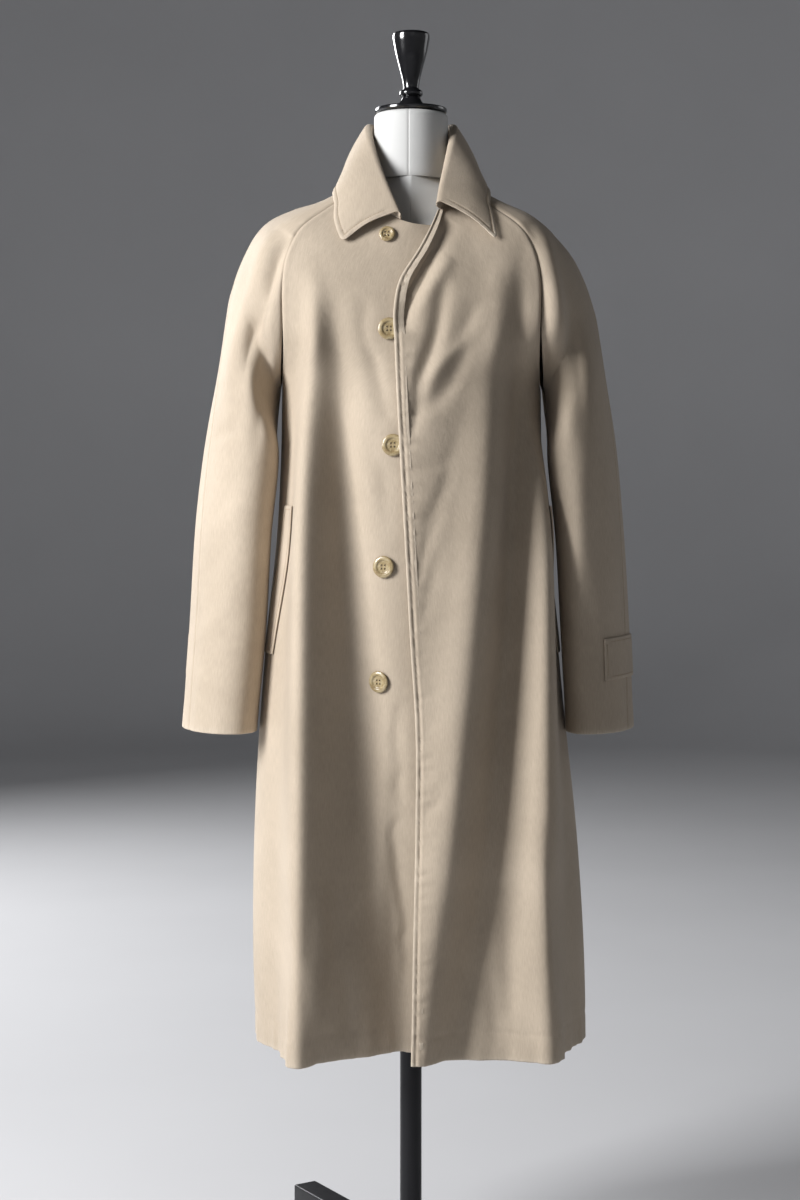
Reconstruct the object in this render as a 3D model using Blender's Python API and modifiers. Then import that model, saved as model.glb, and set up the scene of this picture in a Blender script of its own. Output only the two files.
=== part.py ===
"""Raglan car coat, worn open on a limbless dress form with a tripod stand.

Metres, +Z up. The front of the coat faces -Y, the wearer's right side is -X.
The origin lies on the floor under the pole of the stand.

Each cloth panel is a grid laid on a surface. A row of the grid has a level: 0 at the neckline,
1 at the underarm and 2 at the hem or the cuff. Neighbouring panels share their levels, so that
their edges run side by side along the seams.
"""
import math

import bmesh
import bpy
import numpy as np
from mathutils import Matrix
from mathutils import Vector

RIGHT = -1
LEFT = 1

# Cloth
WALL = 0.0018
COLLAR_WALL = 0.0020
SEAM_PULL = 0.00045
UNDERARM_PULL = 0.0009
UNDERARM_PULL_LEVEL = 0.90
UNDERARM_PULL_SPAN = 0.14
UNDERARM_STEP = 0.003
UNDERARM_BLEND = 0.25
COLLAR_SEAM_PULL = 0.0016
NORMAL_STEP = 0.004

# Handle lengths that make a cubic curve a quarter round and a half round
ROUND = 0.5523
HALF_ROUND = 4.0 / 3.0

# Coat
UNDERARM_Z = 1.178
HEM_Z = 0.330
SIDE_Y = 0.005
YOKE_RISE = 0.16
OVERLAP_LIFT = 0.0075
OVERLAP_REACH = 0.55
UNDER_FRONT_EDGE_X = 0.032
COLLAR_ROLL_RADIUS = 0.0050
COLLAR_LIFT = 0.0046
COLLAR_BULGE = 0.0050
COLLAR_STAND_SHARE = 0.3
COLLAR_ROLL_SHARE = 0.5
WELT_WALL = 0.0016
STRAP_WALL = 0.0016
LAID_ON_GAP = 0.0004
WELT_GAP = 0.0012

# Dress form
NECK_RADIUS = 0.0475
NECK_ROUNDING = 0.006
NECK_DOME = 0.001
NECK_FLARE = 0.0005
NECK_FLARE_HEIGHT = 0.030
NECK_TOP_Z = 1.531
TORSO_TOP_Z = 1.446
NECK_BASE_Z = 1.432
SHOULDER_END_Z = 1.400
SHOULDER_START_Z = 1.360
SHOULDER_TAPER = 0.35
SHOULDER_CREST_Y = 0.005
TORSO_BOTTOM_Z = 0.790
TORSO_GAP = 0.0012
CONTACT_GAP = 0.0003
CAP_HEIGHT = 0.0055
CAP_RADIUS = 0.0465
CAP_ROUNDING = 0.002
FINIAL_TOP_Z = 1.634
FINIAL_BASE_RADIUS = 0.0225

# Stand
POLE_RADIUS = 0.0142
HUB_RADIUS = 0.040
HUB_TOP_Z = 0.095
HUB_NECK_RADIUS = 0.024
HUB_NECK_BASE = 0.012
HUB_ROUNDING = 0.003
LEG_TOP_Z = 0.056
LEG_HEIGHT = 0.024
LEG_WIDTH = 0.035
LEG_REACH = 0.285
LEG_ROUNDING = 0.002
LEG_ANGLES = (122.0, 242.0, 2.0)
FOOT_RADIUS = 0.019
FOOT_NECK_RADIUS = 0.013
FOOT_HEIGHT = 0.012
FOOT_ROUNDING = 0.001
FOOT_INSET = 0.024

# Rows and columns of the panels, and steps round the turned pieces
UPPER_LEVELS = (0.0, 0.14, 0.28, 0.42, 0.56, 0.69, 0.80, 0.89, 0.95, 1.0)
LOWER_STEPS = 13
ARM_STEPS = 12
FRONT_COLUMNS = 17
BACK_COLUMNS = 28
SLEEVE_COLUMNS = 8
WELT_STEPS = 8
WELT_CROSS_STEPS = 4
STRAP_STEPS = 4
NECK_STEPS = 28
TURNED_STEPS = 20
SMALL_STEPS = 14


class Table:
    """Rows with named columns, read smoothly between the values of the first column."""

    def __init__(self, names, *rows):
        values = np.array(rows, dtype=float)
        order = np.argsort(values[:, 0])
        self.keys = values[order, 0]
        self.columns = dict(zip(names.split(), values[order].T))

    def at(self, key, name):
        column = self.columns[name]
        slopes = np.gradient(column, self.keys)
        row = int(np.clip(np.searchsorted(self.keys, key) - 1, 0, len(self.keys) - 2))
        step = self.keys[row + 1] - self.keys[row]
        part = min(max((key - self.keys[row]) / step, 0.0), 1.0)
        rise = 3.0 * part ** 2 - 2.0 * part ** 3
        ease_in = part * (1.0 - part) ** 2
        ease_out = part ** 2 * (part - 1.0)
        level = column[row] * (1.0 - rise) + column[row + 1] * rise
        return level + step * (slopes[row] * ease_in + slopes[row + 1] * ease_out)

    def point(self, key, stem):
        return np.array([self.at(key, stem + axis) for axis in "xyz"])


# Plan of the body below the underarm: half widths, and the middle of the front and of the back
BODY = Table(
    "z right left front back",
    (0.330, 0.203, 0.230, -0.125, 0.196),
    (0.450, 0.206, 0.226, -0.130, 0.192),
    (0.600, 0.204, 0.216, -0.134, 0.184),
    (0.750, 0.196, 0.200, -0.137, 0.174),
    (0.870, 0.186, 0.188, -0.138, 0.165),
    (0.980, 0.174, 0.176, -0.138, 0.156),
    (1.080, 0.168, 0.169, -0.137, 0.148),
    (1.178, 0.166, 0.167, -0.134, 0.139),
)

# Middle lines of the front and the back from the neckline down to the underarm level
MIDDLE = Table(
    "level front_y front_z back_y back_z",
    (0.00, -0.100, 1.380, 0.064, 1.480),
    (0.30, -0.113, 1.332, 0.097, 1.405),
    (0.60, -0.124, 1.276, 0.122, 1.315),
    (1.00, -0.134, 1.178, 0.139, 1.178),
)

# Raglan seams (f, b) with the handles that lead along the body (fb, bb) and over the sleeve (fs, bs)
RAGLAN_FRONT = Table(
    "level fx fy fz fbx fby fbz fsx fsy fsz",
    (0.00, 0.062, -0.052, 1.428, -0.018, -0.016, -0.015, 0.004, 0.017, 0.014),
    (0.25, 0.105, -0.074, 1.402, -0.030, -0.014, -0.016, 0.018, 0.015, 0.012),
    (0.50, 0.146, -0.092, 1.364, -0.045, -0.016, -0.018, 0.024, 0.011, 0.014),
    (0.70, 0.161, -0.100, 1.310, -0.045, -0.016, -0.012, 0.034, 0.001, 0.013),
    (0.85, 0.161, -0.092, 1.235, -0.030, -0.020, -0.006, 0.030, -0.018, 0.008),
    (1.00, 0.166, 0.005, 1.178, 0.000, -0.077, 0.000, 0.010, -0.085, 0.000),
)
RAGLAN_BACK = Table(
    "level bx by bz bbx bby bbz bsx bsy bsz",
    (0.00, 0.055, 0.042, 1.470, -0.020, 0.010, 0.004, 0.006, -0.014, -0.005),
    (0.25, 0.092, 0.072, 1.424, -0.030, 0.014, 0.008, 0.008, -0.022, 0.004),
    (0.50, 0.135, 0.100, 1.372, -0.045, 0.014, 0.010, 0.012, -0.020, 0.018),
    (0.70, 0.157, 0.112, 1.315, -0.045, 0.020, 0.000, 0.025, -0.004, 0.018),
    (0.85, 0.161, 0.104, 1.240, -0.030, 0.022, 0.000, 0.028, 0.020, 0.008),
    (1.00, 0.166, 0.005, 1.178, 0.000, 0.074, 0.000, 0.015, 0.085, 0.000),
)

# Handles that leave the overarm seam towards the front (hf) and the back (hb) above the underarm
OVERARM_HANDLES = Table(
    "level hfx hfy hfz hbx hby hbz",
    (0.00, 0.000, -0.018, -0.004, 0.000, 0.018, 0.003),
    (0.25, 0.000, -0.030, -0.003, 0.000, 0.030, -0.003),
    (0.50, 0.000, -0.045, -0.004, 0.000, 0.045, -0.004),
    (0.70, -0.004, -0.062, -0.006, 0.000, 0.062, -0.006),
    (0.85, -0.012, -0.080, -0.005, 0.008, 0.080, -0.005),
    (1.00, -0.020, -0.108, 0.000, 0.028, 0.108, 0.000),
)

# Overarm seam (o): the outline of the shoulder and of the outer arm
OVERARM = {
    RIGHT: Table(
        "level ox oy oz",
        (0.00, 0.067, 0.002, 1.4560),
        (0.20, 0.101, 0.004, 1.4233),
        (0.40, 0.150, 0.006, 1.4090),
        (0.60, 0.188, 0.008, 1.3900),
        (0.80, 0.213, 0.009, 1.3550),
        (1.00, 0.232, 0.008, 1.3000),
        (1.25, 0.253, -0.004, 1.1550),
        (1.50, 0.269, -0.009, 1.0200),
        (1.75, 0.278, -0.010, 0.8760),
        (2.00, 0.289, -0.012, 0.7380),
    ),
    LEFT: Table(
        "level ox oy oz",
        (0.00, 0.067, 0.002, 1.4560),
        (0.20, 0.102, 0.004, 1.4230),
        (0.40, 0.150, 0.006, 1.4030),
        (0.60, 0.186, 0.008, 1.3750),
        (0.80, 0.216, 0.009, 1.3350),
        (1.00, 0.236, 0.008, 1.2780),
        (1.25, 0.258, -0.002, 1.1400),
        (1.50, 0.270, -0.004, 1.0100),
        (1.75, 0.277, -0.006, 0.8750),
        (2.00, 0.282, -0.009, 0.7380),
    ),
}

# Underarm seam (i) of the arm, with half the depth of the sleeve and the turn of its front edge
# towards the body in degrees
ARM = {
    RIGHT: Table(
        "level ix iy iz depth turn",
        (1.00, 0.169, 0.005, 1.1780, 0.084, 0.0),
        (1.25, 0.180, 0.018, 1.0850, 0.088, 18.0),
        (1.50, 0.193, 0.021, 0.9850, 0.083, 23.0),
        (1.75, 0.201, 0.022, 0.8620, 0.079, 25.0),
        (2.00, 0.213, 0.023, 0.7380, 0.075, 25.0),
    ),
    LEFT: Table(
        "level ix iy iz depth turn",
        (1.00, 0.170, 0.005, 1.1780, 0.084, 0.0),
        (1.25, 0.182, 0.016, 1.0850, 0.088, 14.0),
        (1.50, 0.195, 0.018, 0.9850, 0.083, 18.0),
        (1.75, 0.2045, 0.020, 0.8620, 0.079, 21.0),
        (2.00, 0.2130, 0.021, 0.7380, 0.074, 24.0),
    ),
}

# Front edge of the over front: where it crosses each height of the front's middle line
OVER_FRONT_EDGE = Table(
    "z x",
    (1.380, 0.0330),
    (1.345, 0.0100),
    (1.310, -0.0135),
    (1.275, -0.0205),
    (1.227, -0.0195),
    (1.097, -0.0135),
    (0.990, -0.0075),
    (0.854, 0.0000),
    (0.757, 0.0060),
    (0.620, 0.0060),
    (0.470, 0.0030),
    (0.330, 0.0010),
)

# Hanging folds: the face they lie on, their place across it at the top and at the hem, the bend of
# their run between the two, half width as a share of the quarter round, depth (a ridge is positive),
# the share of their fall over which they deepen, and the height they start at
FOLD_COLUMNS = ("face", "top_x", "hem_x", "bend", "width", "depth", "deepening", "start_z")
FOLDS = {
    RIGHT: (
        ("front", 0.118, 0.135, 1.0, 0.11, 0.061, 0.22, 1.320),
        ("front", 0.091, 0.017, 1.6, 0.11, -0.018, 0.20, 1.320),
        ("front", 0.010, 0.000, 1.0, 0.20, -0.046, 0.80, 0.840),
        ("back", 0.150, 0.165, 1.0, 0.20, 0.034, 0.80, 1.150),
        ("back", 0.105, 0.115, 1.0, 0.14, -0.026, 0.80, 1.150),
        ("back", 0.055, 0.062, 1.0, 0.15, 0.032, 0.80, 1.150),
    ),
    LEFT: (
        ("front", 0.106, 0.012, 1.5, 0.12, 0.020, 0.20, 1.340),
        ("front", 0.136, 0.048, 2.4, 0.10, -0.022, 0.20, 1.340),
        ("front", 0.150, 0.167, 1.0, 0.12, 0.047, 0.16, 1.178),
        ("back", 0.140, 0.180, 1.0, 0.20, 0.040, 0.80, 1.150),
        ("back", 0.100, 0.130, 1.0, 0.14, -0.029, 0.80, 1.150),
        ("back", 0.052, 0.075, 1.0, 0.15, 0.034, 0.80, 1.150),
    ),
}
FOLD_ONSET = 1.5
FOLD_SIDEWAYS = 0.35

# Collar by station (0 front end, 1 front raglan seam, 2 overarm seam, 3 back raglan seam, 4 middle of
# the back): the roll (r), and the station and level of the coat that the outer edge lies over
COLLAR = {
    RIGHT: Table(
        "station rx ry rz edge_station edge_level",
        (0.0, 0.0185, -0.106, 1.3930, 0.51, 0.412),
        (0.5, 0.031, -0.091, 1.4240, 0.775, 0.310),
        (1.0, 0.043, -0.063, 1.4580, 1.03, 0.195),
        (1.5, 0.0525, -0.029, 1.4930, 1.51, 0.152),
        (2.0, 0.0555, 0.004, 1.5140, 2.00, 0.150),
        (3.0, 0.0445, 0.046, 1.5240, 3.00, 0.200),
        (4.0, 0.000, 0.067, 1.5270, 4.00, 0.210),
    ),
    LEFT: Table(
        "station rx ry rz edge_station edge_level",
        (0.0, 0.036, -0.104, 1.4060, 0.655, 0.440),
        (0.5, 0.040, -0.090, 1.4300, 0.805, 0.320),
        (1.0, 0.046, -0.063, 1.4600, 1.03, 0.200),
        (1.5, 0.0525, -0.029, 1.4930, 1.51, 0.155),
        (2.0, 0.0555, 0.004, 1.5140, 2.00, 0.150),
        (3.0, 0.0445, 0.046, 1.5240, 3.00, 0.200),
        (4.0, 0.000, 0.067, 1.5270, 4.00, 0.210),
    ),
}
COLLAR_END_X = {RIGHT: 0.013, LEFT: 0.035}
COLLAR_STATIONS = (0.0, 0.3, 0.65, 1.0, 1.25, 1.5, 1.75, 2.0, 2.25, 2.5, 2.75, 3.0, 3.33, 3.67, 4.0)
COLLAR_SECTION_STEPS = 10

# Buttons down the middle of the under front: place, diameter and gap to the smooth cloth
BUTTON_COLUMNS = ("x", "z", "diameter", "gap")
BUTTONS = (
    (-0.0300, 1.3550, 0.0205, 0.0004),
    (-0.0278, 1.2435, 0.0275, 0.0004),
    (-0.0228, 1.1035, 0.0275, 0.0004),
    (-0.0340, 0.9530, 0.0275, -0.0003),
    (-0.0400, 0.8095, 0.0275, 0.0004),
)
BUTTON_HEIGHT = 0.0038

# Slanted welts of the side pockets: share of the quarter round at the front edge, and its width
WELT_COLUMNS = ("top_z", "bottom_z", "top_share", "bottom_share", "width_share")
WELTS = {
    RIGHT: (1.028, 0.838, 0.615, 0.760, 0.150),
    LEFT: (1.028, 0.838, 0.735, 0.845, 0.125),
}

# Straps of the cuffs: levels of the arm, and the columns of the sleeve from its overarm seam
STRAP_LEVELS = (1.778, 1.878)
STRAP_COLUMNS = {RIGHT: (2, 7), LEFT: (-2, 7)}

# Rings of the dress form, from its underside to the shoulders
TORSO = Table(
    "z half front back",
    (0.790, 0.146, -0.090, 0.110),
    (0.805, 0.156, -0.097, 0.117),
    (0.900, 0.158, -0.099, 0.120),
    (1.020, 0.130, -0.094, 0.098),
    (1.110, 0.133, -0.102, 0.102),
    (1.200, 0.147, -0.116, 0.116),
    (1.290, 0.150, -0.112, 0.114),
    (1.340, 0.156, -0.100, 0.104),
    (1.370, 0.158, -0.088, 0.092),
    (1.395, 0.150, -0.076, 0.078),
    (1.420, 0.104, -0.060, 0.064),
    (1.446, 0.048, -0.048, 0.048),
)
TORSO_RINGS = (0.790, 0.791, 0.800, 0.84, 0.90, 0.96, 1.02, 1.09, 1.16, 1.23, 1.29, 1.34, 1.37, 1.392,
               1.404, 1.411, 1.417, 1.422, 1.428, 1.437, 1.4455, 1.446)

# Turned finial: drop below its top and radius, down to the flare over its base
FINIAL = (
    (0.000, 0.0),
    (0.001, 0.0200),
    (0.004, 0.0235),
    (0.008, 0.0240),
    (0.026, 0.0205),
    (0.046, 0.0150),
    (0.064, 0.0105),
    (0.071, 0.0098),
    (0.074, 0.0135),
    (0.077, 0.0150),
    (0.080, 0.0135),
    (0.083, 0.0125),
    (0.088, 0.0200),
    (0.093, 0.0225),
)

COLOURS = {
    "gabardine": ((0.46, 0.36, 0.25, 1.0), 0.85, 0.0),
    "horn": ((0.62, 0.50, 0.27, 1.0), 0.35, 0.0),
    "form_cover": ((0.80, 0.79, 0.76, 1.0), 0.80, 0.0),
    "black_lacquer": ((0.012, 0.012, 0.013, 1.0), 0.18, 0.0),
    "black_steel": ((0.020, 0.020, 0.022, 1.0), 0.40, 0.6),
}


def unit(vector):
    return vector / np.linalg.norm(vector)


def smooth_step(value):
    value = min(max(value, 0.0), 1.0)
    return value * value * (3.0 - 2.0 * value)


def bezier(start, start_handle, end_handle, end, share):
    rest = 1.0 - share
    return (rest ** 3 * start + 3.0 * rest ** 2 * share * (start + start_handle)
            + 3.0 * rest * share ** 2 * (end + end_handle) + share ** 3 * end)


def mirrored(point, side):
    return point * np.array([side, 1.0, 1.0])


def share_at_x(start, start_handle, end_handle, end, target_x):
    """Share of a row's curve at which it crosses target_x."""
    low, high = -0.4, 1.0
    for _ in range(40):
        middle = 0.5 * (low + high)
        if bezier(start, start_handle, end_handle, end, middle)[0] < target_x:
            low = middle
        else:
            high = middle
    return 0.5 * (low + high)


# Body of the coat, worked out with x from the middle towards either side

def level_height(level):
    return UNDERARM_Z + (HEM_Z - UNDERARM_Z) * (level - 1.0)


def level_of_height(z):
    return 1.0 + (UNDERARM_Z - z) / (UNDERARM_Z - HEM_Z)


def plan_row(side, face, z):
    """Quarter round of the body at height z, from its middle line to the side seam."""
    half = BODY.at(z, "right" if side == RIGHT else "left")
    middle_y = BODY.at(z, face)
    start = np.array([0.0, middle_y, z])
    end = np.array([half, SIDE_Y, z])
    start_handle = np.array([ROUND * half, 0.0, 0.0])
    end_handle = np.array([0.0, ROUND * (middle_y - SIDE_Y), 0.0])
    return start, start_handle, end_handle, end


def yoke_row(face, level):
    """Row above the underarm, from the middle line to the raglan seam."""
    start = np.array([0.0, MIDDLE.at(level, face + "_y"), MIDDLE.at(level, face + "_z")])
    raglan = RAGLAN_FRONT if face == "front" else RAGLAN_BACK
    end = raglan.point(level, face[0])
    end_handle = raglan.point(level, face[0] + "b")
    rise = end[2] - start[2]
    start_handle = np.array([ROUND * end[0], 0.0, YOKE_RISE * rise])
    return start, start_handle, end_handle, end


def body_row(side, face, level):
    if level < 1.0:
        return yoke_row(face, level)
    return plan_row(side, face, level_height(level))


def fold_depth(side, place, level):
    """Depth of the hanging folds at a place round the body: 0 front middle, 1 side seam, 2 back middle."""
    depth = 0.0
    for row in FOLDS[side]:
        fold = dict(zip(FOLD_COLUMNS, row))
        across = body_row(side, fold["face"], level)
        height = 0.5 * (across[0][2] + across[3][2])
        if height >= fold["start_z"]:
            continue
        fall = (fold["start_z"] - height) / (fold["start_z"] - HEM_Z)
        x = fold["top_x"] + (fold["hem_x"] - fold["top_x"]) * fall ** fold["bend"]
        share = share_at_x(*across, x)
        centre = share if fold["face"] == "front" else 2.0 - share
        spread = (place - centre) / fold["width"]
        grown = 1.0 - math.exp(-(fall / fold["deepening"]) ** FOLD_ONSET)
        depth += fold["depth"] * grown * math.exp(-spread ** 2)
    return depth


def body_point(side, face, share, level, row=None):
    """Point of the body's cloth. Shares run from 0 at the middle line to 1 at the side or raglan seam."""
    row = row or body_row(side, face, level)
    point = bezier(*row, share)
    step = 0.001
    along = bezier(*row, share + step) - bezier(*row, share - step)
    turn = 1.0 if face == "front" else -1.0
    outward = unit(np.array([FOLD_SIDEWAYS * turn * along[1], -turn * along[0], 0.0]))
    place = share if face == "front" else 2.0 - share
    point = point + outward * fold_depth(side, place, level)
    if face == "front" and side == LEFT:
        lift = OVERLAP_LIFT * (1.0 - smooth_step(share / OVERLAP_REACH))
        point = point + np.array([0.0, -lift, 0.0])
    return mirrored(point, side)


def front_edge_share(side, level, row):
    """Share at which a front ends: past the middle on the under front, on it on the over front."""
    edge_x = -UNDER_FRONT_EDGE_X
    if side == LEFT:
        edge_x = OVER_FRONT_EDGE.at(row[0][2], "x")
    return share_at_x(*row, edge_x)


# Sleeves, worked out with x from the middle towards either side

def arm_reach(side, level):
    """Long half axis of the arm's oval, pointing to its front edge."""
    turn = math.radians(ARM[side].at(level, "turn"))
    return ARM[side].at(level, "depth") * np.array([-math.sin(turn), -math.cos(turn), 0.0])


def sleeve_row(side, face, level):
    """Half round of a sleeve, from the overarm seam to the raglan or the underarm seam."""
    start = OVERARM[side].point(level, "o")
    if level < 1.0:
        raglan = RAGLAN_FRONT if face == "front" else RAGLAN_BACK
        start_handle = OVERARM_HANDLES.point(level, "h" + face[0])
        stand_off = UNDERARM_STEP * smooth_step((level - 1.0) / UNDERARM_BLEND + 1.0)
        end = raglan.point(level, face[0]) + np.array([stand_off, 0.0, 0.0])
        return start, start_handle, raglan.point(level, face[0] + "s"), end
    end = ARM[side].point(level, "i")
    reach = HALF_ROUND * arm_reach(side, level)
    if face == "back":
        reach = -reach
    blend = smooth_step((level - 1.0) / UNDERARM_BLEND)
    top_start = OVERARM_HANDLES.point(1.0, "h" + face[0])
    top_end = (RAGLAN_FRONT if face == "front" else RAGLAN_BACK).point(1.0, face[0] + "s")
    start_handle = top_start + (reach - top_start) * blend
    end_handle = top_end + (reach - top_end) * blend
    return start, start_handle, end_handle, end


def sleeve_point(side, face, share, level):
    return mirrored(bezier(*sleeve_row(side, face, level), share), side)


def around_sleeve(side, place, level):
    """Place round a sleeve: -1 underarm by the front, 0 overarm, 1 underarm by the back."""
    face = "front" if place < 0.0 else "back"
    return sleeve_point(side, face, abs(place), level)


# Collar

def collar_station(side, station, level):
    """Point of the coat at a collar station, on the row of the given level."""
    if station <= 1.0:
        row = body_row(side, "front", level)
        start = share_at_x(*row, COLLAR_END_X[side])
        return body_point(side, "front", start + (1.0 - start) * station, level, row)
    if station <= 2.0:
        return sleeve_point(side, "front", 2.0 - station, level)
    if station <= 3.0:
        return sleeve_point(side, "back", station - 2.0, level)
    return body_point(side, "back", 4.0 - station, level)


def collar_edge(side, station):
    """Outer edge of the fall: a point of the coat moved out along its surface's own normal."""
    place = COLLAR[side].at(station, "edge_station")
    level = COLLAR[side].at(station, "edge_level")
    step = 0.02
    ahead = min(place + step, 4.0)
    across = collar_station(side, ahead, level) - collar_station(side, ahead - 2.0 * step, level)
    down = collar_station(side, place, level + step) - collar_station(side, place, level - step)
    outward = unit(np.cross(across, down)) * side
    if outward[2] < 0.0:
        outward = -outward
    return collar_station(side, place, level) + outward * COLLAR_LIFT


def collar_point(side, station, share):
    """Section of the collar: the stand, then the roll as an arc, then the fall that leaves it smoothly."""
    seam = collar_station(side, station, 0.0)
    roll = mirrored(COLLAR[side].point(station, "r"), side)
    edge = collar_edge(side, station)
    upward = np.array([0.0, 0.0, 1.0])
    out = (edge - roll) * np.array([1.0, 1.0, 0.0])
    reach = np.linalg.norm(out)
    out = out / reach
    length = np.linalg.norm(edge - roll)
    steep = math.atan2(roll[2] - edge[2], reach) - math.pi * COLLAR_BULGE / length
    centre = roll - COLLAR_ROLL_RADIUS * upward

    def on_roll(angle):
        return centre + COLLAR_ROLL_RADIUS * (math.sin(angle) * upward - math.cos(angle) * out)

    if share < COLLAR_STAND_SHARE:
        return seam + (on_roll(0.0) - seam) * share / COLLAR_STAND_SHARE
    if share < COLLAR_ROLL_SHARE:
        part = (share - COLLAR_STAND_SHARE) / (COLLAR_ROLL_SHARE - COLLAR_STAND_SHARE)
        return on_roll(part * (0.5 * math.pi + steep))
    outer = on_roll(0.5 * math.pi + steep)
    fall = (share - COLLAR_ROLL_SHARE) / (1.0 - COLLAR_ROLL_SHARE)
    away = unit(upward * reach + out * (roll[2] - edge[2]))
    return outer + (edge - outer) * fall + away * COLLAR_BULGE * math.sin(math.pi * fall)


# Making objects

def material(name):
    colour, roughness, metallic = COLOURS[name]
    made = bpy.data.materials.get(name)
    if made is None:
        made = bpy.data.materials.new(name)
        made.use_nodes = True
        shader = made.node_tree.nodes["Principled BSDF"]
        shader.inputs["Base Color"].default_value = colour
        shader.inputs["Roughness"].default_value = roughness
        shader.inputs["Metallic"].default_value = metallic
    return made


def add_object(name, bm, material_name, smooth=True):
    mesh = bpy.data.meshes.new(name)
    bm.to_mesh(mesh)
    bm.free()
    made = bpy.data.objects.new(name, mesh)
    bpy.data.collections["raglan_car_coat"].objects.link(made)
    mesh.materials.append(material(material_name))
    if smooth:
        mesh.shade_smooth()
    return made


def trim(points, pull):
    """Draw the border of a grid of points in: first and last row, first and last column."""
    first_row, last_row, first_column, last_column = pull
    points = points.copy()

    def draw(edge, inner, distance):
        along = inner - edge
        return edge + along / np.linalg.norm(along, axis=-1, keepdims=True) * distance

    points[0] = draw(points[0], points[1], first_row)
    points[-1] = draw(points[-1], points[-2], last_row)
    points[:, 0] = draw(points[:, 0], points[:, 1], first_column)
    points[:, -1] = draw(points[:, -1], points[:, -2], last_column)
    return points


def seam_pulls(levels):
    """Distance that a panel stays back from its seam: more where the sleeve folds against the body."""
    near = [math.exp(-((level - UNDERARM_PULL_LEVEL) / UNDERARM_PULL_SPAN) ** 2) for level in levels]
    return (SEAM_PULL + UNDERARM_PULL * np.array(near))[:, None]


def cloth(name, points, wall, pull, material_name="gabardine"):
    """Panel from rows of points: a grid laid on them, with its wall made by Solidify."""
    points = trim(np.array(points), pull)
    rows, columns = points.shape[:2]
    bm = bmesh.new()
    bmesh.ops.create_grid(bm, x_segments=columns - 1, y_segments=rows - 1, size=0.5)
    for vertex in bm.verts:
        row = round((vertex.co.y + 0.5) * (rows - 1))
        column = round((vertex.co.x + 0.5) * (columns - 1))
        vertex.co = Vector(points[row, column])
    made = add_object(name, bm, material_name)
    shell = made.modifiers.new("wall", "SOLIDIFY")
    shell.thickness = wall
    shell.offset = 0.0
    return made


def turned(name, profile, material_name, steps=TURNED_STEPS):
    """Solid turned round Z from a profile of (radius, z) that runs down its outer side."""
    bm = bmesh.new()
    corners = [bm.verts.new((radius, 0.0, z)) for radius, z in profile]
    for upper, lower in zip(corners, corners[1:]):
        bm.edges.new((upper, lower))
    made = add_object(name, bm, material_name, smooth=False)
    screw = made.modifiers.new("turn", "SCREW")
    screw.steps = steps
    screw.render_steps = steps
    screw.use_merge_vertices = True
    screw.merge_threshold = 0.00005
    screw.use_smooth_shade = True
    return made


def rows_of(levels, shares, point):
    return [[point(share, level) for share in shares] for level in levels]


def body_levels():
    lower = np.linspace(1.0, 2.0, LOWER_STEPS + 1)[1:]
    return list(UPPER_LEVELS) + list(lower)


def arm_levels():
    lower = np.linspace(1.0, 2.0, ARM_STEPS + 1)[1:]
    return list(UPPER_LEVELS) + list(lower)


def make_front(side):
    points = []
    for level in body_levels():
        row = body_row(side, "front", level)
        first = front_edge_share(side, level, row)
        shares = np.linspace(first, 1.0, FRONT_COLUMNS + 1)
        points.append([body_point(side, "front", share, level, row) for share in shares])
    name = "right_front" if side == RIGHT else "left_front"
    cloth(name, points, WALL, (SEAM_PULL, 0.0, 0.0, seam_pulls(body_levels())))


def make_back():
    shares = np.linspace(-1.0, 1.0, BACK_COLUMNS + 1)
    points = []
    for level in body_levels():
        sides = [LEFT if share > 0.0 else RIGHT for share in shares]
        points.append([body_point(side, "back", abs(share), level) for side, share in zip(sides, shares)])
    pulls = seam_pulls(body_levels())
    cloth("back", points, WALL, (SEAM_PULL, 0.0, pulls, pulls))


def make_sleeve(side):
    shares = np.linspace(0.0, 1.0, SLEEVE_COLUMNS + 1)
    for face in ("front", "back"):
        points = rows_of(arm_levels(), shares, lambda share, level: sleeve_point(side, face, share, level))
        name = ("right" if side == RIGHT else "left") + "_sleeve_" + face
        cloth(name, points, WALL, (SEAM_PULL, 0.0, SEAM_PULL, seam_pulls(arm_levels())))


def make_collar():
    stations = [(RIGHT, station) for station in COLLAR_STATIONS]
    stations += [(LEFT, station) for station in COLLAR_STATIONS[-2::-1]]
    shares = np.linspace(0.0, 1.0, COLLAR_SECTION_STEPS + 1)
    points = [[collar_point(side, station, share) for share in shares] for side, station in stations]
    cloth("collar", points, COLLAR_WALL, (0.0, 0.0, COLLAR_SEAM_PULL, 0.0))


def surface_normal(point, first, second, side):
    """Outward normal of a surface function of two values."""
    across = point(first + NORMAL_STEP, second) - point(first - NORMAL_STEP, second)
    down = point(first, second + NORMAL_STEP) - point(first, second - NORMAL_STEP)
    return unit(np.cross(across, down)) * -side


def laid_on(point, first, second, side, height):
    return point(first, second) + surface_normal(point, first, second, side) * height


def make_welt(side):
    size = dict(zip(WELT_COLUMNS, WELTS[side]))
    height = 0.5 * WALL + WELT_GAP + 0.5 * WELT_WALL

    def on_front(share, level):
        return body_point(side, "front", share, level)

    points = []
    for down in np.linspace(0.0, 1.0, WELT_STEPS + 1):
        z = size["top_z"] + (size["bottom_z"] - size["top_z"]) * down
        first = size["top_share"] + (size["bottom_share"] - size["top_share"]) * down
        level = level_of_height(z)
        shares = np.linspace(first, first + size["width_share"], WELT_CROSS_STEPS + 1)
        points.append([laid_on(on_front, share, level, side, height) for share in shares])
    cloth(("right" if side == RIGHT else "left") + "_pocket_welt", points, WELT_WALL, (0.0,) * 4)


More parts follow.
